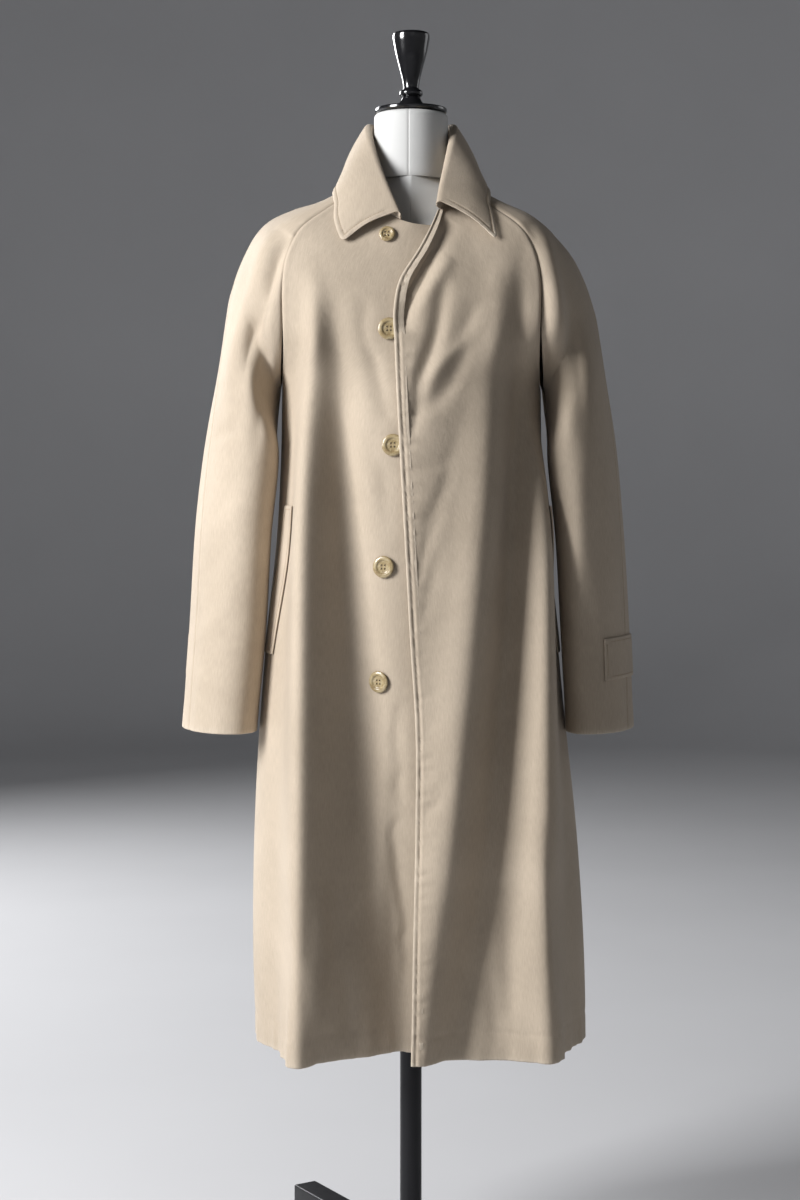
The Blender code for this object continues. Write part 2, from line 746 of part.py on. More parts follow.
def make_strap(side):
    height = 0.5 * WALL + LAID_ON_GAP + 0.5 * STRAP_WALL

    def on_sleeve(place, level):
        return around_sleeve(side, place, level)

    first, last = STRAP_COLUMNS[side]
    places = [column / SLEEVE_COLUMNS for column in range(first, last + 1)]
    levels = np.linspace(*STRAP_LEVELS, STRAP_STEPS + 1)
    points = [[laid_on(on_sleeve, place, level, side, height) for place in places] for level in levels]
    cloth(("right" if side == RIGHT else "left") + "_cuff_strap", points, STRAP_WALL, (0.0,) * 4)


def button_profile(radius, height):
    """Dished button with a rounded rim, its back at z = 0."""
    rim = 0.30 * height
    return (
        (0.0, 0.62 * height),
        (0.58 * radius, 0.66 * height),
        (0.74 * radius, height),
        (0.90 * radius, height),
        (radius, height - rim),
        (0.97 * radius, 0.25 * height),
        (0.80 * radius, 0.0),
        (0.0, 0.0),
    )


def make_buttons():
    def on_front(share, level):
        return body_point(RIGHT, "front", share, level)

    for number, row in enumerate(BUTTONS, start=1):
        size = dict(zip(BUTTON_COLUMNS, row))
        level = level_of_height(size["z"])
        if level < 1.0:
            heights = [MIDDLE.at(step, "front_z") for step in np.linspace(0.0, 1.0, 101)]
            level = float(np.interp(-size["z"], -np.array(heights), np.linspace(0.0, 1.0, 101)))
        share = share_at_x(*body_row(RIGHT, "front", level), -size["x"])
        normal = surface_normal(on_front, share, level, RIGHT)
        seat = on_front(share, level) + normal * (0.5 * WALL + size["gap"])
        profile = button_profile(0.5 * size["diameter"], BUTTON_HEIGHT)
        made = turned("front_button_%d" % number, profile, "horn", SMALL_STEPS)
        facing = Vector(normal).to_track_quat("Z", "Y").to_matrix().to_4x4()
        made.matrix_world = Matrix.Translation(Vector(seat)) @ facing


# Dress form and stand

def shoulder_reach(side, z):
    """Half width of the form's shoulder just under the coat's overarm seam."""
    seam = np.array([OVERARM[side].point(level, "o") for level in UPPER_LEVELS])
    under = seam[:, 2] - 0.5 * WALL - TORSO_GAP
    return float(np.interp(-z, -under, seam[:, 0]))


def torso_ring(z, angle):
    half = TORSO.at(z, "half")
    if SHOULDER_END_Z < z < NECK_BASE_Z:
        half = shoulder_reach(LEFT if math.cos(angle) > 0.0 else RIGHT, z)
    front = TORSO.at(z, "front")
    back = TORSO.at(z, "back")
    shoulder = smooth_step((z - SHOULDER_START_Z) / (SHOULDER_END_Z - SHOULDER_START_Z))
    taper = 1.0 + SHOULDER_TAPER * shoulder
    crest_y = SHOULDER_CREST_Y * shoulder * abs(math.cos(angle))
    side = math.copysign(abs(math.cos(angle)) ** taper, math.cos(angle))
    ahead = math.copysign(abs(math.sin(angle)) ** taper, math.sin(angle))
    depth = back if ahead > 0.0 else -front
    return np.array([half * side, crest_y + depth * ahead, z])


def make_torso():
    rings = len(TORSO_RINGS)
    bm = bmesh.new()
    bmesh.ops.create_uvsphere(bm, u_segments=NECK_STEPS, v_segments=rings + 1, radius=1.0)
    for vertex in bm.verts:
        latitude = math.asin(min(max(vertex.co.z, -1.0), 1.0)) / math.pi + 0.5
        ring = round(latitude * (rings + 1)) - 1
        if ring < 0 or ring >= rings:
            vertex.co = Vector((0.0, 0.0, TORSO_RINGS[min(max(ring, 0), rings - 1)]))
            continue
        angle = math.atan2(vertex.co.y, vertex.co.x)
        vertex.co = Vector(torso_ring(TORSO_RINGS[ring], angle))
    add_object("form_torso", bm, "form_cover")


def make_neck():
    turned("form_neck", (
        (0.0, NECK_TOP_Z + NECK_DOME),
        (NECK_RADIUS - NECK_ROUNDING, NECK_TOP_Z),
        (NECK_RADIUS - 0.3 * NECK_ROUNDING, NECK_TOP_Z - 0.3 * NECK_ROUNDING),
        (NECK_RADIUS, NECK_TOP_Z - NECK_ROUNDING),
        (NECK_RADIUS, TORSO_TOP_Z + NECK_FLARE_HEIGHT),
        (NECK_RADIUS + NECK_FLARE, TORSO_TOP_Z + CONTACT_GAP),
        (0.0, TORSO_TOP_Z + CONTACT_GAP),
    ), "form_cover", NECK_STEPS)
    cap_bottom = NECK_TOP_Z + NECK_DOME + CONTACT_GAP
    cap_top = cap_bottom + CAP_HEIGHT
    turned("form_neck_cap", (
        (0.0, cap_top),
        (CAP_RADIUS - CAP_ROUNDING, cap_top),
        (CAP_RADIUS, cap_top - CAP_ROUNDING),
        (CAP_RADIUS, cap_bottom + CAP_ROUNDING),
        (CAP_RADIUS - CAP_ROUNDING, cap_bottom),
        (0.0, cap_bottom),
    ), "black_lacquer", NECK_STEPS)
    base = cap_top + CONTACT_GAP
    profile = [(radius, FINIAL_TOP_Z - drop) for drop, radius in FINIAL]
    profile += [(FINIAL_BASE_RADIUS, base), (0.0, base)]
    turned("form_finial", profile, "black_lacquer")


def make_stand():
    turned("stand_pole", (
        (0.0, TORSO_BOTTOM_Z - CONTACT_GAP),
        (POLE_RADIUS, TORSO_BOTTOM_Z - CONTACT_GAP),
        (POLE_RADIUS, HUB_TOP_Z + CONTACT_GAP),
        (0.0, HUB_TOP_Z + CONTACT_GAP),
    ), "black_steel")
    leg_bottom = LEG_TOP_Z - LEG_HEIGHT
    turned("stand_hub", (
        (0.0, HUB_TOP_Z),
        (HUB_NECK_RADIUS - HUB_ROUNDING, HUB_TOP_Z),
        (HUB_NECK_RADIUS, HUB_TOP_Z - HUB_ROUNDING),
        (HUB_NECK_RADIUS, LEG_TOP_Z + HUB_NECK_BASE),
        (HUB_RADIUS - HUB_ROUNDING, LEG_TOP_Z + HUB_ROUNDING),
        (HUB_RADIUS, LEG_TOP_Z),
        (HUB_RADIUS, leg_bottom),
        (HUB_RADIUS - HUB_ROUNDING, leg_bottom - HUB_ROUNDING),
        (0.0, leg_bottom - HUB_ROUNDING),
    ), "black_steel")
    for number, angle in enumerate(LEG_ANGLES, start=1):
        turn = Matrix.Rotation(math.radians(angle), 4, "Z")
        start = HUB_RADIUS + CONTACT_GAP
        bm = bmesh.new()
        bmesh.ops.create_cube(bm, size=1.0)
        for vertex in bm.verts:
            vertex.co.x = start + (vertex.co.x + 0.5) * (LEG_REACH - start)
            vertex.co.y *= LEG_WIDTH
            vertex.co.z = leg_bottom + (vertex.co.z + 0.5) * LEG_HEIGHT
        leg = add_object("stand_leg_%d" % number, bm, "black_steel", smooth=False)
        leg.matrix_world = turn
        rounding = leg.modifiers.new("rounding", "BEVEL")
        rounding.width = LEG_ROUNDING
        rounding.segments = 1
        foot = turned("stand_foot_%d" % number, (
            (0.0, leg_bottom - CONTACT_GAP),
            (FOOT_NECK_RADIUS, leg_bottom - CONTACT_GAP),
            (FOOT_NECK_RADIUS, FOOT_HEIGHT),
            (FOOT_RADIUS, FOOT_HEIGHT - FOOT_RADIUS + FOOT_NECK_RADIUS),
            (FOOT_RADIUS, FOOT_ROUNDING),
            (FOOT_RADIUS - FOOT_ROUNDING, 0.0),
            (0.0, 0.0),
        ), "black_steel", SMALL_STEPS)
        foot.matrix_world = turn @ Matrix.Translation((LEG_REACH - FOOT_INSET, 0.0, 0.0))


def main():
    for old in list(bpy.data.objects):
        bpy.data.objects.remove(old, do_unlink=True)
    parts = bpy.data.collections.new("raglan_car_coat")
    bpy.context.scene.collection.children.link(parts)
    for side in (RIGHT, LEFT):
        make_front(side)
        make_sleeve(side)
        make_welt(side)
        make_strap(side)
    make_back()
    make_collar()
    make_buttons()
    make_torso()
    make_neck()
    make_stand()


main()
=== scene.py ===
"""Looks of the raglan car coat on its dress form: cloth with creases and sewing, finishes, light, camera.

Metres, +Z up. The front of the coat faces -Y, the wearer's right side is -X. The sizes and the surface
functions repeat those of the part, so each piece lies where its solid lies. Only the tips of the collar are
rounded here, and the right one lies a few millimetres higher.
"""

import math

import bmesh
import bpy
import numpy as np
from mathutils import Matrix
from mathutils import Vector


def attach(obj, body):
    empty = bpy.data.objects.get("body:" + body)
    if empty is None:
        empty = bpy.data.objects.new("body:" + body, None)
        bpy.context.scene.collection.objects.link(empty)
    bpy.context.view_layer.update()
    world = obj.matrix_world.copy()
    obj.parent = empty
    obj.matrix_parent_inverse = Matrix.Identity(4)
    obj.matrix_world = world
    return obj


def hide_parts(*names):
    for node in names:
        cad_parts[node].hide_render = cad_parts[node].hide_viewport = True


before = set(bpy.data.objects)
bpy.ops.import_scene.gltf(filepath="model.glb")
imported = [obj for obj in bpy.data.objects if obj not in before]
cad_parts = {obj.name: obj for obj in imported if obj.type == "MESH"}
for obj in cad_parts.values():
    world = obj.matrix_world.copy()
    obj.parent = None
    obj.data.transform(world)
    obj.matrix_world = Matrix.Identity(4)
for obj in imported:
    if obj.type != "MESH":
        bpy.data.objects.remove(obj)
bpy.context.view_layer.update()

RIGHT = -1
LEFT = 1
SIDE_NAME = {RIGHT: "right", LEFT: "left"}

# Cloth
WALL = 0.0018
CLOTH_WALL = 0.0012
COLLAR_CLOTH_WALL = 0.0018
SEAM_PULL = 0.00015
ROUND = 0.5523
HALF_ROUND = 4.0 / 3.0

# Coat
UNDERARM_Z = 1.178
HEM_Z = 0.330
SIDE_Y = 0.005
UNDERARM_STEP = 0.003
OVERLAP_LIFT = 0.0075
OVERLAP_REACH = 0.55
UNDER_FRONT_EDGE_X = 0.032
COLLAR_ROLL_RADIUS = 0.0050
COLLAR_LIFT = 0.0046
COLLAR_SEAM_PULL = 0.0016
WELT_GAP = 0.0012
LAID_ON_GAP = 0.0004
BUTTON_HEIGHT = 0.0038

# Dress form and stand
NECK_RADIUS = 0.0475
NECK_TOP_Z = 1.531
TORSO_TOP_Z = 1.446
NECK_BASE_Z = 1.432
SHOULDER_END_Z = 1.400
SHOULDER_START_Z = 1.360
SHOULDER_TAPER = 0.35
SHOULDER_CREST_Y = 0.005
TORSO_BOTTOM_Z = 0.790
TORSO_GAP = 0.0012
CONTACT_GAP = 0.0003
CAP_HEIGHT = 0.0055
CAP_RADIUS = 0.0465
FINIAL_TOP_Z = 1.634
POLE_RADIUS = 0.0142
HUB_RADIUS = 0.040
HUB_TOP_Z = 0.095
LEG_TOP_Z = 0.056
LEG_HEIGHT = 0.024
LEG_WIDTH = 0.035
LEG_REACH = 0.285
FOOT_RADIUS = 0.019
FOOT_INSET = 0.024
LEG_ANGLES = (122.0, 242.0, 2.0)
LEG_BEVEL = 0.002
FOOT_ROUND = 0.006
AXIS_RADIUS = 0.002
STAND_AXIS_RADIUS = 0.001
TORSO_EDGE = 0.015
TORSO_CHEST_Z = 1.340
TORSO_SEAM_RADIUS = 0.1
NECK_CROWN = 0.001
NECK_ROUND = 0.006
NECK_SPREAD = 0.0003
NECK_SPREAD_Z = 1.480
CAP_ROUND = 0.002
CAP_UNDERCUT = 0.0012
FINIAL_LIP_RADIUS = 0.0212
FINIAL_LIP_HEIGHT = 0.0040
FINIAL_STEM_DROPS = (0.008, 0.070)
FINIAL_BEAD_RADIUS = 0.0112
FINIAL_BEAD_DROP = 0.0768
FINIAL_FOOT_DROP = 0.0822
FINIAL_BASE_RADIUS = 0.0225
POLE_BEVEL = 0.0006
HUB_NECK_RADIUS = 0.024
HUB_CONE_HEIGHT = 0.016
HUB_UNDERSIDE = 0.003

# Section of the collar: shares at which its stand and its roll end, and the bulge of its fall
STAND = 0.3
ROLL = 0.5
COLLAR_BULGE = 0.005

# Fineness of the grids: rows, and columns as stretches of (first share, last share, steps)
UPPER_ROWS = 100
LOWER_ROWS = 200
BACK_LOWER_ROWS = 160
EDGE_UPPER_ROWS = 116
EDGE_LOWER_ROWS = 400
ARM_ROWS = 130
UNDER_FRONT_COLUMNS = ((0.0, 0.08, 8), (0.08, 0.975, 78), (0.975, 1.0, 6))
OVER_FRONT_COLUMNS = ((0.0, 0.08, 20), (0.08, 0.975, 46), (0.975, 1.0, 5))
BACK_COLUMNS = ((-1.0, -0.98, 5), (-0.98, 0.98, 130), (0.98, 1.0, 5))
SLEEVE_COLUMNS = ((0.0, 0.03, 4), (0.03, 0.97, 44), (0.97, 1.0, 4))
COLLAR_STATIONS = ((0.0, 0.2, 20), (0.2, 4.0, 76))
COLLAR_COLUMNS = ((0.0, STAND, 10), (STAND, ROLL, 16), (ROLL, 0.9, 24), (0.9, 1.0, 10))
COLLAR_FALL_COLUMN = 30
COLLAR_OUTER_COLUMN = -8
COLLAR_TRIM = 4
WELT_GRID = (61, 25)
STRAP_GRID = (21, 61)
PATCH_ROW_TRIM = 2
PATCH_COLUMN_TRIM = 3
EASE_PASSES = 60
EASE_SPAN = 0.10
EASE_INNER = 0.35

# Sewing
EDGE_STITCH_INSET = 0.0046
EDGE_RADIUS = 0.0010
EDGE_RETURN = 0.012
EDGE_STEPS = 5
HEM_STITCH_RISE = 0.034
HEM_RADIUS = 0.0012
HEM_RETURN = 0.030
COLLAR_STITCH_INSET = 0.0066
COLLAR_TIP_RADIUS = 0.0085
PATCH_STITCH_INSET = 0.0050
PATCH_WALL = 0.0016
RIM_SHARE = 0.4
STITCH_PITCH = 0.0034
STITCH_LENGTH = 0.0027
STITCH_WIDTH = 0.0007
STITCH_LIFT = 0.0002
THREAD_SIDES = 6
THREAD_RINGS = ((-0.5, 0.25), (-0.36, 0.85), (0.0, 1.0), (0.36, 0.85), (0.5, 0.25))
BUTTON_SIDES = 56
BUTTON_AXIS_RADIUS = 0.0005
BUTTON_WELL_FLOOR = 0.60
BUTTON_WELL_SHARE = 0.50
BUTTON_WELL_HEIGHT = 0.62
BUTTON_CREST_SHARE = 0.70
BUTTON_BACK_SHARE = 0.30
BUTTON_CALM_SHARE = 0.5
BUTTON_HOLE_PLACE = 0.0022
BUTTON_HOLE_RADIUS = 0.0012
BUTTON_HOLE_SIDES = 14
BUTTON_THREAD_HEIGHT = 0.58
BUTTON_THREAD_WIDTH = 0.0007

# Relief beside an edge or a seam, each row as its place from the edge, half width and height
SEAM_HUMPS = ((0.0, 0.0016, -0.0010), (0.0045, 0.0030, 0.0004))
EDGE_HUMPS = ((0.0010, 0.0016, 0.0006), (EDGE_STITCH_INSET, 0.0019, -0.0010),
              (EDGE_STITCH_INSET + 0.0034, 0.0018, 0.0003))
EDGE_TWIST = ((EDGE_STITCH_INSET, 0.0019, 0.0009),)
EDGE_RIPPLE = ((EDGE_STITCH_INSET + 0.006, 0.010, 0.0006),)
HEM_HUMPS = ((HEM_STITCH_RISE, 0.004, -0.0006),)
COLLAR_HUMPS = ((0.5 * COLLAR_STITCH_INSET, 0.0028, 0.0005), (COLLAR_STITCH_INSET, 0.0016, -0.0007))
PATCH_HUMPS = ((PATCH_STITCH_INSET, 0.0012, -0.0004), (0.0, 0.0015, -0.0004))
FORM_SEAM_HUMPS = ((-0.0035, 0.0007, 0.0006),)

# Uneven waves along an edge: pitch, slant across the edge and seed
EDGE_TWIST_WAVE = (0.0080, -0.9, 5)
EDGE_RIPPLE_WAVE = (0.0152, 0.25, 6)
COLLAR_WAVE = (0.011, 0.5, 21)
COLLAR_WAVE_HEIGHT = 0.0004
COLLAR_WAVE_REACH = 0.012

# Ripples of the hem: pitch, seed, height and reach above the hem, and the share of them on the cuffs
HEM_WAVES = ((0.016, 11, 0.0016, 0.030), (0.048, 12, 0.0026, 0.075))
CUFF_SHARE = 0.35

# Wear along edges: strength and reach
HEM_WEAR = (0.35, 0.003)
EDGE_WEAR = (0.35, 0.0015)
COLLAR_WEAR = (0.4, 0.0015)
COLLAR_TIP_WEAR = (0.9, 0.006)
COLLAR_TIP_WEAR_SPAN = 0.016
PATCH_WEAR = (0.12, 0.0015)

# Finishes
TWILL_PITCH = 0.0009
TWILL_SLANT = math.radians(63.0)
CLOTH_DARK = (0.405, 0.333, 0.252, 1.0)
CLOTH_LIGHT = (0.495, 0.412, 0.318, 1.0)
CLOTH_WORN = (0.780, 0.700, 0.580, 1.0)
THREAD_DARK = (0.300, 0.225, 0.145, 1.0)
THREAD_LIGHT = (0.430, 0.335, 0.230, 1.0)
HORN_HONEY = (0.200, 0.132, 0.060, 1.0)
HORN_YELLOW = (0.345, 0.268, 0.142, 1.0)
HORN_CREAM = (0.480, 0.405, 0.268, 1.0)
HORN_BROWN = (0.100, 0.055, 0.022, 1.0)
JERSEY_SHADE = (0.520, 0.518, 0.503, 1.0)
JERSEY_WHITE = (0.580, 0.578, 0.562, 1.0)
LACQUER_BLACK = (0.008, 0.008, 0.009, 1.0)
ENAMEL_BLACK = (0.014, 0.014, 0.016, 1.0)

# Stage, light and camera
STAGE_RADIUS = 8.0
STAGE_SWEEP = 2.0
STAGE_HEIGHT = 5.5
STAGE_COLOUR = (0.56, 0.56, 0.57, 1.0)
LIGHTS = (
    ("key_softbox", (-2.75, -1.65, 2.25), (0.0, 0.0, 0.95), (1.2, 1.8), 212.0, (0.98, 0.985, 1.0)),
    ("front_fill", (0.6, -4.2, 2.6), (0.0, 0.0, 0.9), (2.0, 2.0), 2.0, (0.97, 0.98, 1.0)),
    ("back_softbox", (-2.3, 3.0, 2.4), (0.0, 0.0, 0.95), (1.6, 1.8), 130.0, (0.98, 0.985, 1.0)),
    ("side_fill", (3.3, 1.3, 2.2), (0.0, 0.0, 0.9), (1.6, 1.8), 10.0, (0.97, 0.98, 1.0)),
)
AIR_COLOUR = (0.80, 0.86, 1.0, 1.0)
AIR_STRENGTH = 0.018
CAMERA_PLACE = (-0.0143, -2.8, 1.05)
CAMERA_TARGET = (-0.0143, 0.0, 0.905)
CAMERA_LENS = 64.6


class Table:
    """Rows with named columns, read smoothly between the values of the first column."""

    def __init__(self, names, *rows):
        values = np.array(rows, dtype=float)
        order = np.argsort(values[:, 0])
        self.keys = values[order, 0]
        self.columns = dict(zip(names.split(), values[order].T))

    def at(self, key, name):
        column = self.columns[name]
        slopes = np.gradient(column, self.keys)
        row = int(np.clip(np.searchsorted(self.keys, key) - 1, 0, len(self.keys) - 2))
        step = self.keys[row + 1] - self.keys[row]
        part = min(max((key - self.keys[row]) / step, 0.0), 1.0)
        rise = 3.0 * part ** 2 - 2.0 * part ** 3
        ease_in = part * (1.0 - part) ** 2
        ease_out = part ** 2 * (part - 1.0)
        level = column[row] * (1.0 - rise) + column[row + 1] * rise
        return level + step * (slopes[row] * ease_in + slopes[row + 1] * ease_out)

    def point(self, key, stem):
        return np.array([self.at(key, stem + axis) for axis in "xyz"])


# Plan of the body below the underarm: half widths, and the middle of the front and of the back
BODY = Table(
    "z right left front back",
    (0.330, 0.203, 0.230, -0.125, 0.196),
    (0.450, 0.206, 0.226, -0.130, 0.192),
    (0.600, 0.204, 0.216, -0.134, 0.184),
    (0.750, 0.196, 0.200, -0.137, 0.174),
    (0.870, 0.186, 0.188, -0.138, 0.165),
    (0.980, 0.174, 0.176, -0.138, 0.156),
    (1.080, 0.168, 0.169, -0.137, 0.148),
    (1.178, 0.166, 0.167, -0.134, 0.139),
)

# Middle lines of the front and the back from the neckline down to the underarm level
MIDDLE = Table(
    "level front_y front_z back_y back_z",
    (0.00, -0.100, 1.380, 0.064, 1.480),
    (0.30, -0.113, 1.332, 0.097, 1.405),
    (0.60, -0.124, 1.276, 0.122, 1.315),
    (1.00, -0.134, 1.178, 0.139, 1.178),
)

# Raglan seams (f, b) with the handles that lead along the body (fb, bb) and over the sleeve (fs, bs)
RAGLAN_FRONT = Table(
    "level fx fy fz fbx fby fbz fsx fsy fsz",
    (0.00, 0.062, -0.052, 1.428, -0.018, -0.016, -0.015, 0.004, 0.017, 0.014),
    (0.25, 0.105, -0.074, 1.402, -0.030, -0.014, -0.016, 0.018, 0.015, 0.012),
    (0.50, 0.146, -0.092, 1.364, -0.045, -0.016, -0.018, 0.024, 0.011, 0.014),
    (0.70, 0.161, -0.100, 1.310, -0.045, -0.016, -0.012, 0.034, 0.001, 0.013),
    (0.85, 0.161, -0.092, 1.235, -0.030, -0.020, -0.006, 0.030, -0.018, 0.008),
    (1.00, 0.166, 0.005, 1.178, 0.000, -0.077, 0.000, 0.010, -0.085, 0.000),
)
RAGLAN_BACK = Table(
    "level bx by bz bbx bby bbz bsx bsy bsz",
    (0.00, 0.055, 0.042, 1.470, -0.020, 0.010, 0.004, 0.006, -0.014, -0.005),
    (0.25, 0.092, 0.072, 1.424, -0.030, 0.014, 0.008, 0.008, -0.022, 0.004),
    (0.50, 0.135, 0.100, 1.372, -0.045, 0.014, 0.010, 0.012, -0.020, 0.018),
    (0.70, 0.157, 0.112, 1.315, -0.045, 0.020, 0.000, 0.025, -0.004, 0.018),
    (0.85, 0.161, 0.104, 1.240, -0.030, 0.022, 0.000, 0.028, 0.020, 0.008),
    (1.00, 0.166, 0.005, 1.178, 0.000, 0.074, 0.000, 0.015, 0.085, 0.000),
)
RAGLAN = {"front": RAGLAN_FRONT, "back": RAGLAN_BACK}

# Handles that leave the overarm seam towards the front (hf) and the back (hb) above the underarm
OVERARM_HANDLES = Table(
    "level hfx hfy hfz hbx hby hbz",
    (0.00, 0.000, -0.018, -0.004, 0.000, 0.018, 0.003),
    (0.25, 0.000, -0.030, -0.003, 0.000, 0.030, -0.003),
    (0.50, 0.000, -0.045, -0.004, 0.000, 0.045, -0.004),
    (0.70, -0.004, -0.062, -0.006, 0.000, 0.062, -0.006),
    (0.85, -0.012, -0.080, -0.005, 0.008, 0.080, -0.005),
    (1.00, -0.020, -0.108, 0.000, 0.028, 0.108, 0.000),
)

# Overarm seam (o): the outline of the shoulder and of the outer arm
OVERARM = {
    RIGHT: Table(
        "level ox oy oz",
        (0.00, 0.067, 0.002, 1.4560),
        (0.20, 0.101, 0.004, 1.4233),
        (0.40, 0.150, 0.006, 1.4090),
        (0.60, 0.188, 0.008, 1.3900),
        (0.80, 0.213, 0.009, 1.3550),
        (1.00, 0.232, 0.008, 1.3000),
        (1.25, 0.253, -0.004, 1.1550),
        (1.50, 0.269, -0.009, 1.0200),
        (1.75, 0.278, -0.010, 0.8760),
        (2.00, 0.289, -0.012, 0.7380),
    ),
    LEFT: Table(
        "level ox oy oz",
        (0.00, 0.067, 0.002, 1.4560),
        (0.20, 0.102, 0.004, 1.4230),
        (0.40, 0.150, 0.006, 1.4030),
        (0.60, 0.186, 0.008, 1.3750),
        (0.80, 0.216, 0.009, 1.3350),
        (1.00, 0.236, 0.008, 1.2780),
        (1.25, 0.258, -0.002, 1.1400),
        (1.50, 0.270, -0.004, 1.0100),
        (1.75, 0.277, -0.006, 0.8750),
        (2.00, 0.282, -0.009, 0.7380),
    ),
}
SHOULDER_LEVELS = (0.0, 0.14, 0.28, 0.42, 0.56, 0.69, 0.80, 0.89, 0.95, 1.0)

# Underarm seam (i) of the arm, with half the depth of the sleeve and the turn of its front edge
# towards the body in degrees
ARM = {
    RIGHT: Table(
        "level ix iy iz depth turn",
        (1.00, 0.169, 0.005, 1.1780, 0.084, 0.0),
        (1.25, 0.180, 0.018, 1.0850, 0.088, 18.0),
        (1.50, 0.193, 0.021, 0.9850, 0.083, 23.0),
        (1.75, 0.201, 0.022, 0.8620, 0.079, 25.0),
        (2.00, 0.213, 0.023, 0.7380, 0.075, 25.0),
    ),
    LEFT: Table(
        "level ix iy iz depth turn",
        (1.00, 0.170, 0.005, 1.1780, 0.084, 0.0),
        (1.25, 0.182, 0.016, 1.0850, 0.088, 14.0),
        (1.50, 0.195, 0.018, 0.9850, 0.083, 18.0),
        (1.75, 0.2045, 0.020, 0.8620, 0.079, 21.0),
        (2.00, 0.2130, 0.021, 0.7380, 0.074, 24.0),
    ),
}

# Front edge of the over front: where it crosses each height of the front's middle line
OVER_FRONT_EDGE = Table(
    "z x",
    (1.380, 0.0330),
    (1.345, 0.0100),
    (1.310, -0.0135),
    (1.275, -0.0205),
    (1.227, -0.0195),
    (1.097, -0.0135),
    (0.990, -0.0075),
    (0.854, 0.0000),
    (0.757, 0.0060),
    (0.620, 0.0060),
    (0.470, 0.0030),
    (0.330, 0.0010),
)

# Hanging folds: the face they lie on, their place across it at the top and at the hem, the bend of
# their run between the two, half width as a share of the quarter round, depth (a ridge is positive),
# the share of their fall over which they deepen, and the height they start at
FOLD_COLUMNS = ("face", "top_x", "hem_x", "bend", "width", "depth", "deepening", "start_z")
FOLDS = {
    RIGHT: (
        ("front", 0.118, 0.135, 1.0, 0.11, 0.061, 0.22, 1.320),
        ("front", 0.091, 0.017, 1.6, 0.11, -0.018, 0.20, 1.320),
        ("front", 0.010, 0.000, 1.0, 0.20, -0.046, 0.80, 0.840),
        ("back", 0.150, 0.165, 1.0, 0.20, 0.034, 0.80, 1.150),
        ("back", 0.105, 0.115, 1.0, 0.14, -0.026, 0.80, 1.150),
        ("back", 0.055, 0.062, 1.0, 0.15, 0.032, 0.80, 1.150),
    ),
    LEFT: (
        ("front", 0.106, 0.012, 1.5, 0.12, 0.020, 0.20, 1.340),
        ("front", 0.136, 0.048, 2.4, 0.10, -0.022, 0.20, 1.340),
        ("front", 0.150, 0.167, 1.0, 0.12, 0.047, 0.16, 1.178),
        ("back", 0.140, 0.180, 1.0, 0.20, 0.040, 0.80, 1.150),
        ("back", 0.100, 0.130, 1.0, 0.14, -0.029, 0.80, 1.150),
        ("back", 0.052, 0.075, 1.0, 0.15, 0.034, 0.80, 1.150),
    ),
}
FOLD_ONSET = 1.5
FOLD_SIDEWAYS = 0.35

# Collar by station (0 front end, 1 front raglan seam, 2 overarm seam, 3 back raglan seam, 4 middle of
# the back): the roll (r), and the station and level of the coat that the outer edge lies over
COLLAR = {
    RIGHT: Table(
        "station rx ry rz edge_station edge_level",
        (0.0, 0.0185, -0.106, 1.3930, 0.55, 0.392),
        (0.5, 0.031, -0.091, 1.4240, 0.775, 0.310),
        (1.0, 0.043, -0.063, 1.4580, 1.03, 0.195),
        (1.5, 0.0525, -0.029, 1.4930, 1.51, 0.152),
        (2.0, 0.0555, 0.004, 1.5140, 2.00, 0.150),
        (3.0, 0.0445, 0.046, 1.5240, 3.00, 0.200),
        (4.0, 0.000, 0.067, 1.5270, 4.00, 0.210),
    ),
    LEFT: Table(
        "station rx ry rz edge_station edge_level",
        (0.0, 0.036, -0.104, 1.4060, 0.655, 0.440),
        (0.5, 0.040, -0.090, 1.4300, 0.805, 0.320),
        (1.0, 0.046, -0.063, 1.4600, 1.03, 0.200),
        (1.5, 0.0525, -0.029, 1.4930, 1.51, 0.155),
        (2.0, 0.0555, 0.004, 1.5140, 2.00, 0.150),
        (3.0, 0.0445, 0.046, 1.5240, 3.00, 0.200),
        (4.0, 0.000, 0.067, 1.5270, 4.00, 0.210),
    ),
}
COLLAR_END_X = {RIGHT: 0.013, LEFT: 0.035}

# Buttons down the middle of the under front: place and diameter
BUTTON_COLUMNS = ("x", "z", "diameter")
BUTTONS = (
    (-0.0300, 1.3550, 0.0205),
    (-0.0278, 1.2435, 0.0275),
    (-0.0228, 1.1035, 0.0275),
    (-0.0340, 0.9530, 0.0275),
    (-0.0400, 0.8095, 0.0275),
)

# Slanted welts of the side pockets: share of the quarter round at the front edge, and its width
WELT_COLUMNS = ("top_z", "bottom_z", "top_share", "bottom_share", "width_share")
WELTS = {
    RIGHT: (1.028, 0.838, 0.615, 0.760, 0.150),
    LEFT: (1.028, 0.838, 0.735, 0.845, 0.125),
}

# Straps of the cuffs: levels of the arm, and places from the overarm seam towards the back
STRAP_LEVELS = (1.778, 1.878)
STRAP_PLACES = {RIGHT: (0.25, 0.875), LEFT: (-0.25, 0.875)}

# Rings of the dress form, from its underside to the shoulders
TORSO = Table(
    "z half front back",
    (0.790, 0.146, -0.090, 0.110),
    (0.805, 0.156, -0.097, 0.117),
    (0.900, 0.158, -0.099, 0.120),
    (1.020, 0.130, -0.094, 0.098),
    (1.110, 0.133, -0.102, 0.102),
    (1.200, 0.147, -0.116, 0.116),
    (1.290, 0.150, -0.112, 0.114),
    (1.340, 0.156, -0.100, 0.104),
    (1.370, 0.158, -0.088, 0.092),
    (1.395, 0.150, -0.076, 0.078),
    (1.420, 0.104, -0.060, 0.064),
    (1.446, 0.048, -0.048, 0.048),
)

